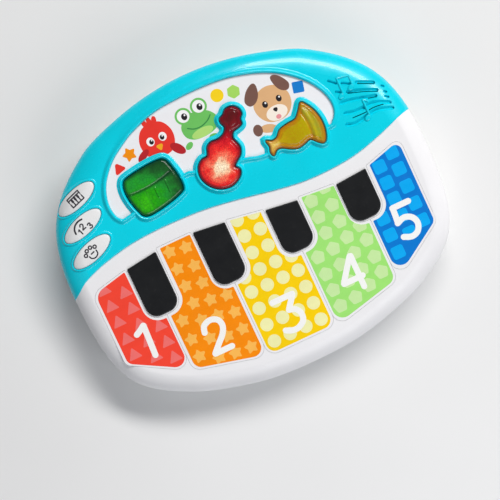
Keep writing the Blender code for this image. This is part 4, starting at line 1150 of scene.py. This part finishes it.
def make_bottom_cover():
    outside = layered(CASE, [
        (-BASE_EDGE, BASE_Z), (-BASE_EDGE * 0.72, BASE_Z + 0.35), (-BASE_EDGE * 0.5, BASE_Z + 1.3),
        (-BASE_EDGE * 0.42, BASE_Z + 2.6), (-WALL_LEAN, SPLIT_Z - SPLIT_GAP / 2),
    ])
    hollow = layered(CASE, [(-WALL - BASE_EDGE / 2, FLOOR_Z), (-WALL - WALL_LEAN, SPLIT_Z + TALL)])
    bosses = TEAL_BOSSES + WHITE_BOSSES
    cut(hollow, *[cylinder(place, TOWER_RADIUS, 0, SPLIT_Z - 0.15, 24) for place in bosses])
    cover = cut(outside, hollow)
    for place in bosses:
        cut(cover, cylinder(place, SCREW_HOLE, -1, SPLIT_Z + TALL, BORE_SIDES),
            cylinder(place, HEAD_BORE, -1, HEAD_SEAT_Z, 32))
    unite(
        cover,
        box(-DOOR_HALF - LEDGE, DOOR_HALF + LEDGE, BAY_FRONT - 4.5, BAY_REAR + 4.5, FLOOR_Z - 1,
            FLOOR_Z + 2.5),
        box(-BAY_HALF - 2, BAY_HALF + 2, BAY_FRONT - 2, BAY_REAR + 2, FLOOR_Z, BAY_TOP_Z + 2),
        box(-10, 10, BAY_REAR + 3, DOOR_SCREW_Y + 8, FLOOR_Z - 1, FLOOR_Z + 2.5),
        cylinder((0, DOOR_SCREW_Y), DOOR_POST_RADIUS, FLOOR_Z - 1, DOOR_POST_TOP_Z),
    )
    cut(cover, box(-BAY_HALF, BAY_HALF, BAY_FRONT, BAY_REAR, -1, BAY_TOP_Z))
    cut(cover, prism(door_outline(FIT), -1, FLOOR_Z))
    cut(cover, cylinder((0, DOOR_SCREW_Y), SCREW_HOLE, -1, DOOR_POST_TOP_Z - 2, BORE_SIDES))
    for place, top in POSTS:
        unite(cover, cylinder(place, POST_RADIUS, FLOOR_Z - 1, top - FIT, 16))
        unite(cover, cylinder(place, PIN_RADIUS, top - 1, top + 1.2, 12))
    for place in FEET:
        cut(cover, cylinder(place, FOOT_RADIUS + FIT, -1, FOOT_TOP_Z + FIT, 48))
    left, right, front, back = SWITCH_SLOT
    for start, end in ((left - 8, left - 4), (right + 4, right + 8)):
        unite(cover, box(start, end, front, back, FLOOR_Z - 1, SWITCH_Z - FIT))
    cut(cover, box(left, right, front, back, -1, FLOOR_Z + 1))
    frame_loop = rounded([(x, y, 3) for x, y in (
        (left - 3, front - 3), (right + 3, front - 3), (right + 3, back + 3), (left - 3, back + 3))])
    inner_loop = grown(frame_loop, -0.8)  # the groove round the switch runs between the two loops
    cut(cover, stack([ring(inner_loop, 0.9), ring(inner_loop, BASE_Z + 0.4), ring(frame_loop, BASE_Z + 0.4),
                      ring(frame_loop, 0.9)], closed=True))
    piece(cover, "bottom_cover_shell", BASE, "case", "base_plastic", "bottom_cover")


def cross_recess(place, low, depth, reach, width):
    """Two crossed tapered bars that cut the recess of a screw head which faces down."""
    bars = []
    for turn in (0.0, math.pi / 2):
        rings = []
        for share, z in ((1.15, low - 0.5), (1.0, low), (0.35, low + depth)):
            u = reach * share
            corners = [(-u, -width), (u, -width), (u, width), (-u, width)]
            rings.append([(*local(place, turn, *corner), z) for corner in corners])
        bars.append(stack(rings))
    return bars


FOOT_PROFILE = [
    (2.2, 0.5), (3.6, 0.5), (4.0, 0.15), (4.6, 0.0), (FOOT_RADIUS - 1.1, 0.0), (FOOT_RADIUS - 0.4, 0.25),
    (FOOT_RADIUS, 0.9), (FOOT_RADIUS, FOOT_TOP_Z),
]


def make_feet_and_screws():
    for number, (x, y) in enumerate(FEET, 1):
        foot = turned(FOOT_PROFILE, (x, y, 0), "Z", 48)
        piece(foot, f"foot_{number}_pad", FOOT_RUBBER, "case", "foot_rubber", f"foot_{number}")
    seat = HEAD_SEAT_Z - FIT
    for number, (x, y) in enumerate(TEAL_BOSSES + WHITE_BOSSES, 1):
        profile = [(HEAD_RADIUS - 1.2, seat - 2.05), (HEAD_RADIUS - 0.4, seat - 1.7), (HEAD_RADIUS, seat - 1.1)]
        profile += [(HEAD_RADIUS, seat), (SCREW_RADIUS, seat), (SCREW_RADIUS, SCREW_TOP_Z)]
        screw = turned(profile, (x, y, 0), "Z", 24)
        for bar in cross_recess((x, y), seat - 2.1, 1.3, 1.6, 0.36):
            cut(screw, bar)
        piece(screw, f"case_screw_{number}_recessed", STEEL, "case", "steel", f"case_screw_{number}")


GRIP_SECTION = [(-1, -2), (-1, 0.0), (-0.7, 0.4), (0, 0.6), (0.7, 0.4), (1, 0.0), (1, -2)]


def make_battery_door():
    loop = door_outline(0)
    door = layered(loop, [(-0.5, BASE_Z), (-0.15, BASE_Z + 0.12), (0, BASE_Z + 0.5), (0, FLOOR_Z - FIT)])
    cut(door, cylinder((0, DOOR_SCREW_Y), SCREW_HOLE, 0, 8, BORE_SIDES))
    cut(door, turned([(4.2, 0.8), (3.4, BASE_Z + 0.35)], (0, DOOR_SCREW_Y, 0)))
    for y in GRIP_Y:
        cut(door, sweep([(-9, y + 0.6), (0, y + 1.8), (9, y + 0.6)], GRIP_SECTION, lambda x, y: BASE_Z, 0.7))
    piece(door, "battery_door_panel", BASE, "battery_door", "base_plastic", "battery_door")
    screw = turned([(1.6, 0.5), (2.3, 0.7), (2.6, 1.05), (2.6, BASE_Z - 0.25), (SCREW_RADIUS, BASE_Z - 0.2),
                    (SCREW_RADIUS, 12)],
                   (0, DOOR_SCREW_Y, 0), "Z", 24)
    for bar in cross_recess((0, DOOR_SCREW_Y), 0.45, 0.6, 1.5, 0.33):
        cut(screw, bar)
    piece(screw, "battery_door_screw_recessed", STEEL, "battery_door", "steel", "battery_door_screw")


def make_power_switch():
    left, right, front, back = SWITCH_SLOT
    middle = (front + back) / 2
    near, far = left + FIT, left + 5.7
    corners = [(near, front + FIT), (far, front + FIT), (far, back - FIT), (near, back - FIT)]
    loop = rounded([(x, y, 0.6) for x, y in corners], 0.4)
    knob = layered(loop, [(-0.35, 0.6), (0, 1.0), (0, FLOOR_Z + 1)])
    for x in (left + 1.5, left + 3.0, left + 4.5):
        cut(knob, box(x - 0.3, x + 0.3, front, back, 0, 1.05))
    unite(knob, box(left - 3.4, left + 9.4, front - 2, back + 2, FLOOR_Z + FIT, FLOOR_Z + 1.4))
    unite(knob, box(left + 2, left + 4, middle - 1.5, middle + 1.5, FLOOR_Z + 1, SWITCH_Z + 1.2))
    piece(knob, "power_switch_slider", KNOB, "power_switch_knob", "black_plastic", "power_switch_knob")


# ---- keys -------------------------------------------------------------------------------------------------


def edges_at(loop, x):
    """The y of the loop's front edge and of its rear edge at x."""
    crossings = []
    for a, b in zip(loop, loop[1:] + loop[:1]):
        if min(a.x, b.x) <= x <= max(a.x, b.x) and a.x != b.x:
            crossings.append(a.y + (b.y - a.y) * (x - a.x) / (b.x - a.x))
    return min(crossings), max(crossings)


def stop_hook(x, edge):
    """A hook under the key's front edge that meets the cover from below when the key is up."""
    def level(rise, y):
        return deck(rise)(0, y)
    tip, step, root = edge - HOOK_REACH, edge + HOOK_NECK[0], edge + HOOK_NECK[1]
    low, ledge, top = -WALL - 2.2, -WALL - FIT, 0.4 - KEY_THICK
    corners = [(tip, low), (root, low), (root, top), (step, top), (step, ledge), (tip, ledge)]
    return slab([(y, level(rise, y)) for y, rise in corners], x - HOOK_HALF, x + HOOK_HALF)


def key_body(number, loop):
    """A key's plate with its arms, hub, plunger and stop hook."""
    under = deck(-KEY_THICK)
    profile = [(0, -KEY_THICK), (0, -0.1), (-0.03, -0.03), (-0.1, 0)]
    key = layered(grown(loop, KEY_GROWTH), profile, deck)
    for x in KEY_ARMS[number]:
        front, rear = edges_at(loop, x)
        front = max(ARM_FRONT, front + 4)
        rear -= 2
        low, high = PIVOT_Z - ARM_END_HALF, PIVOT_Z + ARM_END_HALF
        arm = [
            (front, under(0, front) - ARM_DROP), (rear, low), (PIVOT_Y, low), (PIVOT_Y, high),
            (rear + 1.5, high), (rear, under(0, rear) + ROOT), (front, under(0, front) + ROOT),
        ]
        unite(key, slab(arm, x - ARM_HALF, x + ARM_HALF))
    left, right = KEY_ARMS[number][0] - HUB_OVERHANG, KEY_ARMS[number][1] + HUB_OVERHANG
    pivot = (0, PIVOT_Y, PIVOT_Z)
    unite(key, turned([(HUB_RADIUS, left), (HUB_RADIUS, right)], pivot, "X", 24))
    cut(key, turned([(ROD_HOLE, left - 1), (ROD_HOLE, right + 1)], pivot, "X", 24))
    x, y, half = KEY_DOME_X[number], KEY_DOME_Y, KEY_PLUNGER_HALF
    unite(key, box(x - half, x + half, y - half, y + half, KEY_DOME_TOP, under(0, y) + ROOT))
    return unite(key, stop_hook(KEY_STOP_X[number], edges_at(loop, KEY_STOP_X[number])[0]))


NOTCH = -40.4
KEY_PRINTS = [
    [(-128.2, -2.2, 9), (-128.2, -59.6, 6), (-87.5, -82.4, 7), (-87.5, NOTCH, 0.8), (-101.3, NOTCH, 12),
     (-101.3, 3.6, 0.8)],
    [(-70, 8.4, 0.8), (-70, NOTCH, 12), (-84, NOTCH, 0.8), (-84, -84, 7), (-32.4, -97, 7),
     (-32.4, NOTCH, 0.8),
     (-45.4, NOTCH, 12), (-45.4, 8.4, 0.8)],
    [(-14, 5.2, 0.8), (-14, NOTCH, 12), (-29, NOTCH, 0.8), (-29, -98, 7), (23.4, -98, 7), (23.4, NOTCH, 0.8),
     (9.4, NOTCH, 12), (9.4, 1.2, 0.8)],
    [(41.4, -1.8, 0.8), (41.4, NOTCH, 12), (27, NOTCH, 0.8), (27, -99, 8), (79.4, -87.2, 7),
     (79.4, NOTCH, 0.8),
     (67, NOTCH, 12), (67, -4.2, 0.8)],
    [(97.6, -1.6, 0.8), (97.6, NOTCH, 12), (82.6, NOTCH, 0.8), (82.6, -86.2, 8), (124.4, -59.8, 6),
     (124.4, 5.8, 5)],
]


def column(x, *rows):
    return [(x, y) for y in rows]


DOT_ROWS = (3, -10, -23.5, -37, -50, -63.5, -77, -90.5)
PATTERN_PLACES = [
    column(-121, -1, -14, -27, -41, -54) + column(-107.5, -9, -22, -35, -49, -62)
    + column(-94.5, -42.5, -55.5, -68.5),
    column(-64.5, 3, -11, -25, -39, -53, -68, -84) + column(-52, 1, -14, -28, -42, -55, -72, -86)
    + column(-77.5, -47.5, -63, -77) + column(-39.5, -44, -58, -72, -87),
    column(-9, *DOT_ROWS) + column(4, *DOT_ROWS) + column(-22, -38, *DOT_ROWS[4:])
    + column(16.5, -38, *DOT_ROWS[4:]),
    column(47, -7.5, -20.5, -33.5, -46.5, -59.5, -73, -86.5)
    + column(60, -2, -16.5, -30, -43, -56, -69.5, -82.5) + column(34, -47.5, -61.5, -74.5, -87.5)
    + column(72.5, -39, -51, -65, -77.5),
    column(116.5, 0, -13.5, -27.5, -41.5, -55.5) + column(104, -6, -19, -32, -46, -60)
    + column(90, -42, -55.5, -69.5),
]
PATTERN_SHAPES = [
    lambda place: triangle(place, 5.3, 9.2),
    lambda place: star(place, 5.9),
    lambda place: ellipse(place, 5.0, 5.0, 0, 36),
    lambda place: polygon(place, 5.9, 5, math.pi / 2, 1.8),
    lambda place: square(place, 4.9),
]
DIGITS = [
    [[(-113, -42.6), (-109.5, -40.8), (-105.8, -38.4)], [(-105.6, -38.6), (-106.2, -50), (-106.9, -62.2)]],
    [[(-66.6, -62.8), (-64.8, -58), (-59, -55.8), (-53.6, -58.2), (-52.2, -63.4), (-54.8, -69), (-60, -74.2),
      (-66, -80.2)],
     [(-66, -80.4), (-58, -80.4), (-52.2, -80.4)]],
    [[(-11.4, -64), (-3, -64), (5, -64)], [(5, -64.4), (1.5, -69), (-2.4, -74)],
     [(-2.4, -74), (2.4, -75.6), (5, -80), (4, -85.6), (-1.2, -89), (-6.6, -89), (-11, -87)]],
    [[(55.6, -56.8), (49.5, -65), (43.2, -73.6)], [(43.2, -74), (50, -74), (58.6, -74)],
     [(56.4, -57), (56.3, -70), (56.2, -82)]],
    [[(99.6, -38), (106, -38), (112.6, -38)], [(99.8, -38.2), (99.4, -44), (98.9, -49.2)],
     [(98.6, -49.8), (104.6, -47.8), (110.2, -50.2), (112.4, -55.6), (110, -61.2), (104.6, -63.2),
      (98.4, -61)]],
]
DIGIT_WIDTH = 4.5


def make_keys():
    for number, loop in enumerate(key_outlines()):
        name = f"key_{number + 1}"
        ground, light = KEY_INKS[number]
        slot = f"{KEY_COLOURS[number][0]}_key"
        piece(key_body(number, loop), f"{name}_plate", WHITE, name, "white_plastic", name)
        outline = rounded(KEY_PRINTS[number])
        piece(prism(outline, deck(-0.02), deck(0.03)), f"{name}_print", ground, name, slot)
        shapes = merged([prism(PATTERN_SHAPES[number](place), deck(0.0), deck(0.05))
                         for place in PATTERN_PLACES[number]])
        cross(shapes, prism(grown(outline, -0.05), deck(-1), deck(1)))
        piece(shapes, f"{name}_pattern", light, name, slot)
        strokes = [prism(stroke(curve(line, 8), DIGIT_WIDTH), deck(0.0), deck(0.08 + 0.01 * layer))
                   for layer, line in enumerate(DIGITS[number])]
        piece(merged(strokes), f"{name}_digit", DIGIT_INK, name, "print_white")


BLACK_PROFILE = [
    (0, -BLACK_SINK), (0, BLACK_RISE - 0.9), (-0.07, BLACK_RISE - 0.5), (-0.27, BLACK_RISE - 0.22),
    (-0.55, BLACK_RISE - 0.06), (-0.9, BLACK_RISE),
]
BLACK_PINS = (-26, -6)


def make_black_keys():
    for number, x in enumerate(BLACK_X):
        loop = black_outline(number)
        key = layered(loop, BLACK_PROFILE, deck)
        unite(key, *[cylinder((x, y), 1.4, 33, 41.5 + DECK_SLOPE * y, 16) for y in BLACK_PINS])
        piece(key, f"black_key_{number + 1}_cap", BLACK, "case", "black_plastic", f"black_key_{number + 1}")


# ---- buttons ----------------------------------------------------------------------------------------------


def across(start, end):
    """A function that gives how far a point is from the line through start and end."""
    start, end = Vector(start), Vector(end)
    normal = Vector((start.y - end.y, end.x - start.x)).normalized()
    return lambda x, y: normal.dot(Vector((x, y)) - start)


VIOLIN_NECK = across((0, 47), (23, 76))
DRUM_RIDGES = (-53.8, -44.6)
DRUM_GROOVES = (-68.4, -61.4)


def share_of(value, low, high):
    """0 below low, 1 above high and even in between."""
    return min(max((value - low) / (high - low), 0.0), 1.0)


def above_hoop(x, y):
    """How far a point lies behind the drum's hoop, which bends forward in its middle."""
    return y - 52.5 - 0.0062 * (x + 64) ** 2


def drum_top(x, y, distance):
    level = 3.1 + 0.5 * share_of(distance, 0, 12) - edge_fall(distance, 2.8)
    side = above_hoop(x, y)
    kept = share_of(distance, 2.2, 3.8)
    level -= kept * 0.6 * bump(side, 1.7)
    if side < -2:
        fading = kept * share_of(-side, 2, 3.5)
        level += fading * sum(0.8 * bump(x - place, 0.9) for place in DRUM_RIDGES) * share_of(y, 41, 43)
        level -= fading * sum(0.3 * bump(x - place, 1.1) for place in DRUM_GROOVES)
    return teal(level)(x, y)


def drum_shadow(x, y, distance):
    far = share_of(x + 0.8 * y, -16, 30)
    behind = 0.35 * share_of(above_hoop(x, y), 3, 9)
    return min(0.75 * bump(above_hoop(x, y), 1.9) + 0.4 * far + behind * far, 1.0)


def violin_top(x, y, distance):
    level = 3.0 + 0.6 * share_of(distance, 0, 9) - edge_fall(distance, 2.2)
    kept = share_of(distance, 1.2, 2.4)
    along = (Vector((x, y)) - Vector((0, 47))).dot(Vector((23, 29)).normalized())
    level += kept * 0.5 * bump(VIOLIN_NECK(x, y), 2.6) * share_of(along, 9, 12)
    level -= kept * 0.3 * bump(distance - 3.2, 0.9)
    return teal(level)(x, y)


def violin_shadow(x, y, distance):
    return 0.35 * share_of(4.5 - distance, 0, 4)


def horn_bell(x, y):
    """How far a point lies beyond the ridge of the horn's bell."""
    return math.hypot((x - 30) * 0.98, y - 44) - 40.5


def horn_top(x, y, distance):
    level = 3.0 + 0.7 * share_of(distance, 0, 8) - edge_fall(distance, 2.0)
    kept = share_of(distance, 1.0, 2.2)
    level -= kept * 0.35 * bump(distance - 2.8, 0.9)
    bell = horn_bell(x, y)
    level += kept * (0.6 * bump(bell, 1.5) - 0.5 * bump(bell + 2.6, 1.4) + 0.35 * bump(bell - 4.0, 1.6))
    return teal(level)(x, y)


def horn_shadow(x, y, distance):
    return 0.45 * bump(horn_bell(x, y) + 2.4, 1.7) + 0.3 * bump(distance - 2.8, 1.3)


def stem(x, y, low, flare, flare_high):
    """The plunger below a button, which widens where it meets the button's underside at low."""
    profile = [(PLUNGER_RADIUS - 0.4, PLUNGER_END_Z), (PLUNGER_RADIUS, PLUNGER_END_Z + 0.4),
               (PLUNGER_RADIUS, low + 0.4), (PLUNGER_RADIUS + flare, low + flare_high)]
    return turned(profile, (x, y, 0))


def make_instrument_buttons():
    looks = {
        "drum_button": (DRUM_LIT, "green_clear", drum_top, drum_shadow),
        "violin_button": (VIOLIN_LIT, "red_clear", violin_top, violin_shadow),
        "horn_button": (HORN_LIT, "amber_clear", horn_top, horn_shadow),
    }
    for name, loop in OUTLINES.items():
        look, slot, top, shadow = looks[name]
        button = cap(loop, teal(-6.4), top, 0.5, shadow=shadow)
        piece(button, f"{name}_lens", look, name, slot, name)
        x, y = BUTTON_PLUNGERS[name]
        piece(stem(x, y, teal(-6.5)(x, y), 1.2, 1.4), f"{name}_stem", look, name, slot)


def mode_top(x, y, distance):
    return teal_surface(MODE_RISE)(x, y) + 0.9 * share_of(distance, 0, 6) - edge_fall(distance, 1.3)


def decal(outlines, surface, rise):
    """Thin printed shapes that follow a curved surface."""
    def sunk(x, y):
        return surface(x, y) - 0.2
    return merged([cap(loop, sunk, lambda x, y, d: surface(x, y) + rise, 1.2, (0.4,)) for loop in outlines])


def icon_lines(name, centre):
    """The outlines of a mode button's icon."""
    def at(x, y):
        return local(centre, MODE_TURN, x, y)

    def line(points, width=1.0, steps=3):
        return stroke(curve([at(*point) for point in points], steps), width, 5)

    if name == "mode_button_piano":
        frame_lines = [[(-5.4, -3.7), (5.4, -3.7)], [(5.4, -3.7), (5.4, 3.9)], [(5.4, 3.9), (-5.4, 3.9)],
                       [(-5.4, 3.9), (-5.4, -3.7)]]
        keys = [[(x, -3.7), (x, 0.4)] for x in (-2.7, 0, 2.7)] + [[(-5.4, 2.1), (5.4, 2.1)]]
        blacks = [[(x, -0.4), (x, 1.9)] for x in (-2.7, 0, 2.7)]
        return [line(points) for points in frame_lines + keys] + [line(points, 1.7) for points in blacks]
    if name == "mode_button_numbers":
        one = [[(-4.6, -1.3), (-3.6, -0.4)], [(-3.6, -0.4), (-3.6, -4.4)]]
        two = [[(-1.6, 0.6), (-0.5, 1.9), (0.9, 1.1), (0.5, -0.4), (-1.5, -2.4)], [(-1.5, -2.5), (1.3, -2.5)]]
        three = [[(3.4, -2.0), (4.7, -1.5), (5.6, -2.3), (4.5, -3.4)],
                 [(4.5, -3.4), (5.9, -4.3), (4.8, -5.6), (3.3, -5.1)]]
        arc = [[(-7.4, -1.2), (-6.2, 1.8), (-3.4, 4.0), (0.2, 4.6), (3.2, 4.0)]]
        return [line(points) for points in one + two + three] + [line(points, 1.3) for points in arc]
    toes = [(-5.0, 0.5), (-2.3, 2.6), (1.3, 2.9), (4.3, 1.1)]
    halves = []
    for x, y in toes:
        for side in (-1, 1):
            halves.append([(x, y - 1.3), (x + 1.15 * side, y - 0.4), (x + 1.0 * side, y + 0.8), (x, y + 1.3)])
    pad = [[(-3.6, -1.6), (-3.3, -3.6), (-1.4, -5.0), (0.8, -5.0), (2.8, -3.8), (3.4, -1.4)],
           [(-1.2, -1.2), (1.4, -1.2)]]
    return [line(points) for points in halves + pad]


def make_mode_buttons():
    for name, (x, y) in MODE_BUTTONS.items():
        loop = ellipse((x, y), MODE_HALF_LONG, MODE_HALF_SHORT, MODE_TURN, 110)
        low = teal(-MODE_DEPTH)(x, y) - MODE_SKIRT[name]
        button = cap(loop, low, mode_top, 1.1, (0.08, 0.25, 0.55, 0.9))
        piece(button, f"{name}_cap", MODE_WHITE, name, "white_plastic", name)
        piece(stem(x, y, low, 0.6, 0.9), f"{name}_stem", MODE_WHITE, name, "white_plastic")
        icon = decal(icon_lines(name, (x, y)),
                     lambda u, v, edge=loop: mode_top(u, v, clearance([(u, v)], edge)[0]), 0.06)
        piece(icon, f"{name}_icon", ICON_INK, name, "white_plastic")


# ---- picture panel ----------------------------------------------------------------------------------------


def bezel_blocks(margin):
    return [prism(outset(loop, BEZEL_WIDTH[name] + margin, 160), teal(-8), teal(8))
            for name, loop in OUTLINES.items()]


def make_plate():
    plate = prism(grown(smooth(PANEL, 6), -0.12), teal(PLATE_LOW), teal(PLATE_TOP))
    cut(plate, *bezel_blocks(0.25))
    piece(plate, "picture_plate", LABEL, "case", "print_white", "graphic_plate")


def ovals(places, half_long, half_short, turn, sides):
    return [ellipse(place, half_long, half_short, turn, sides) for place in places]


def paint(name, colour, order, outlines):
    """Printed shapes on the picture plate. A later order lies on top."""
    shapes = [prism(loop, teal(PLATE_TOP - 0.02), teal(PLATE_TOP + 0.02 * order)) for loop in outlines]
    made = shapes[0] if len(shapes) == 1 else unite(*shapes)
    cut(made, *bezel_blocks(0.45))
    piece(made, f"panel_{name}", PAINTS[colour], "case", "print_white")


def make_bird():
    middle = (-37.5, 82)
    body = smooth([(-37.5, 95.4), (-29, 92.6), (-24.6, 84.6), (-25.6, 75.6), (-31.4, 69.6), (-43.6, 69.6),
                   (-49.6, 75.6),
                   (-50.4, 84.6), (-46, 92.6)], 6)
    tufts = [ellipse(local(middle, lean, 0, 14.4), 1.9, 3.2, lean, 20) for lean in (0.24, -0.02, -0.28)]
    paint("bird_body", "red", 1, [body] + tufts)
    paint("bird_wings", "dark_red", 2,
          [ellipse((-51.4, 75.4), 5.6, 2.6, 0.5, 24), ellipse((-26, 69.6), 6.4, 3.4, -0.9, 24)])
    paint("bird_eyes", "eye", 3, ovals([(-42.4, 82.4), (-32.6, 82.4)], 3.0, 3.3, 0, 24))
    paint("bird_pupils", "pupil", 4, ovals([(-41.8, 82), (-33.2, 82)], 1.7, 1.9, 0, 20))
    paint("bird_glints", "eye", 5, ovals([(-41.2, 82.9), (-32.6, 82.9)], 0.6, 0.6, 0, 12))
    paint("bird_beak", "beak", 4, [rounded([(-41, 78.2, 1.2), (-37.5, 73, 0.8), (-34, 78.2, 1.2)], 0.4)])


def make_frog():
    head = smooth([(-6, 89), (4.6, 86.4), (10, 79.6), (7.6, 72.4), (-1, 69.4), (-11, 69.8), (-17, 74),
                   (-17.8, 81.4), (-13, 87.2)], 6)
    eyes = [(-12.6, 89.2), (0.8, 91.2)]
    paint("frog_head", "frog", 1, [head] + ovals(eyes, 6.3, 6.3, 0, 36))
    paint("frog_feet", "frog", 1,
          [ellipse((-17.6, 67.6), 3.4, 2.2, 0.5, 24), ellipse((2, 66.4), 3.6, 2.2, -0.2, 24)])
    paint("frog_belly", "frog_light", 2, [ellipse((-4.4, 72.6), 8.6, 3.4, 0.04, 32)])
    paint("frog_eye_whites", "eye", 2, ovals(eyes, 4.7, 4.7, 0, 32))
    paint("frog_pupils", "pupil", 3, ovals([(x + 0.6, y - 0.6) for x, y in eyes], 2.2, 2.6, 0, 24))
    paint("frog_glints", "eye", 4, ovals([(x + 1.3, y + 0.4) for x, y in eyes], 0.7, 0.7, 0, 12))
    smile = curve([(-13.4, 79.8), (-9, 77.4), (-3.6, 77), (2.4, 79), (6, 82)], 5)
    paint("frog_smile", "frog_dark", 3, [stroke(smile, 0.9)])


def make_dog():
    head = smooth([(51.5, 83.6), (60.4, 80.6), (65.4, 72.6), (63.8, 63.4), (57, 57.4), (46, 57.4), (39, 63.4),
                   (37.2, 72.6),
                   (42.6, 80.6)], 6)
    paint("dog_head", "tan", 1, [head, ellipse((41, 54.6), 6.4, 3.2, -0.3, 24)])
    ears = [smooth([(45.6, 87.4), (43, 89.6), (37, 86), (33, 79.4), (35.4, 74.8), (40.4, 75.6), (44.4, 80.4)],
                   5),
            smooth([(57.4, 87.4), (60.4, 89), (65, 85.6), (68.6, 79), (66.4, 74.8), (61.8, 76), (58.6, 80.6)],
                   5)]
    paint("dog_ears", "brown", 2, ears)
    paint("dog_paw", "brown", 2, [ellipse((33.2, 56.4), 3.6, 4.4, -0.2, 28)])
    paint("dog_muzzle", "cream", 2, [ellipse((51.6, 62.6), 8.2, 5.6, 0, 32)])
    paint("dog_eyes", "pupil", 3, ovals([(46, 71.6), (57.2, 71.6)], 2.1, 2.5, 0, 24))
    paint("dog_glints", "eye", 4, ovals([(46.7, 72.5), (57.9, 72.5)], 0.7, 0.7, 0, 12))
    paint("dog_nose", "pupil", 4, [rounded([(48.6, 66.6, 1.2), (54.6, 66.6, 1.2), (51.6, 62.8, 1.0)], 0.4)])
    paint("dog_tongue", "pink", 3, [ellipse((51.6, 59.4), 2.0, 1.7, 0, 20)])


def make_panel_shapes():
    paint("triangle", "red", 1, [rounded([(-76.4, 70, 1.2), (-66.4, 72.6, 1.2), (-73, 79.6, 1.4)], 0.5)])
    paint("star", "orange", 1, [star((-60.4, 80.6), 6.0, 1.72)])
    paint("circle", "yellow", 1, [ellipse((16.6, 92.6), 4.9, 4.9, 0, 40)])
    paint("hexagon", "green", 1, [polygon((28.8, 90), 5.2, 6, 0.2, 1.2)])
    paint("square", "blue", 1, [square((73.6, 73), 4.2, -0.24, 0.9)])


# ---- carried-over frame parts -----------------------------------------------------------------------------

INNER_LOOKS = [
    (BOARD, "key_board main_board mode_board"), (STEEL, "key_pivot_rod speaker_frame"),
    (DOME_RUBBER, "key_dome_strip instrument_dome_pad mode_dome_pad"), (LED, "led_drum led_violin led_horn"),
    (CABLE, "key_ribbon_cable"),
    (NICKEL, "battery_contact_1 battery_contact_2 battery_contact_3"),
    (NICKEL, "battery_spring_1 battery_spring_2 battery_spring_3"),
    (JACKET, "battery_1 battery_2 battery_3"), (CHIP, "sound_chip power_switch_body"),
    (FRAME_GREY, "key_frame"), (PAPER, "speaker_cone"), (FERRITE, "speaker_magnet"),
]


def dress_inner_parts():
    for look, names in INNER_LOOKS:
        for name in names.split():
            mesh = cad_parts[name].data
            mesh.materials.clear()
            mesh.materials.append(look)


# ---- studio -----------------------------------------------------------------------------------------------

VIEW_X, VIEW_Y = -9.7, -21.1  # the point of the deck at the middle of the picture
VIEW_TURN = math.radians(-25.1)
VIEW_SPAN = 372.5  # what the picture spans at the deck's height
CAMERA_HIGH = 1150.0
SENSOR = 36.0
AIM = (0, 0, 30)
LIGHTS = [  # name, place, size, power, colour
    ("key_light", (1350, 1215, 1830), (2250, 510), 63.0, (1.0, 0.985, 0.965)),
    ("fill_light", (-700, -300, 900), (900, 900), 0.55, (0.95, 0.98, 1.0)),
    ("front_light", (100, -900, 700), (900, 500), 4.8, (0.96, 0.97, 1.0)),
]
ROOM_COLOUR = (0.9, 0.94, 1.0, 1.0)
ROOM_LIGHT = 0.15
FLOOR_HALF = 4.0  # metres


def area_light(name, place, size, power, colour):
    lamp = bpy.data.lights.new(name, "AREA")
    lamp.shape = "RECTANGLE"
    lamp.size, lamp.size_y = (value * MM for value in size)
    lamp.energy = power
    lamp.color = colour
    holder = placed(name, lamp)
    holder.location = Vector(place) * MM
    holder.rotation_euler = (Vector(AIM) - Vector(place)).to_track_quat("-Z", "Y").to_euler()


def make_studio():
    floor_look, tree, shader, place = blank("floor_paper")
    tone = between(tree, noise(tree, place, 3.0), 0.80, 0.84)
    tree.links.new(add(tree, "ShaderNodeCombineXYZ", {0: tone, 1: tone, 2: tone}).outputs[0],
                   shader.inputs["Base Color"])
    set_inputs(shader, roughness=0.7)
    relief(tree, shader, noise(tree, place, 700.0, 3.0), 0.08, 0.0002)
    mesh = bpy.data.meshes.new("floor")
    half = FLOOR_HALF
    corners = [(-half, -half, 0), (half, -half, 0), (half, half, 0), (-half, half, 0)]
    mesh.from_pydata(corners, [], [(0, 1, 2, 3)])
    mesh.materials.append(floor_look)
    floor = placed("floor", mesh)

    for light in LIGHTS:
        area_light(*light)
    world = bpy.data.worlds.new("studio")
    world.use_nodes = True
    background = world.node_tree.nodes["Background"]
    background.inputs["Color"].default_value = ROOM_COLOUR
    background.inputs["Strength"].default_value = ROOM_LIGHT
    bpy.context.scene.world = world
    bpy.context.scene.view_settings.view_transform = "Standard"

    lens = bpy.data.cameras.new("camera")
    camera = placed("camera", lens)
    deck_z = deck(0)(VIEW_X, VIEW_Y)
    lens.sensor_width = SENSOR
    lens.lens = SENSOR * (CAMERA_HIGH - deck_z) / VIEW_SPAN
    camera.location = (VIEW_X * MM, VIEW_Y * MM, CAMERA_HIGH * MM)
    camera.rotation_euler = (0, 0, VIEW_TURN)
    bpy.context.scene.camera = camera


make_studio()
dress_inner_parts()
make_upper_cover()
make_notes()
make_keyboard_cover()
make_bottom_cover()
make_feet_and_screws()
make_battery_door()
make_power_switch()
make_keys()
make_black_keys()
make_instrument_buttons()
make_mode_buttons()
make_plate()
make_bird()
make_frog()
make_dog()
make_panel_shapes()
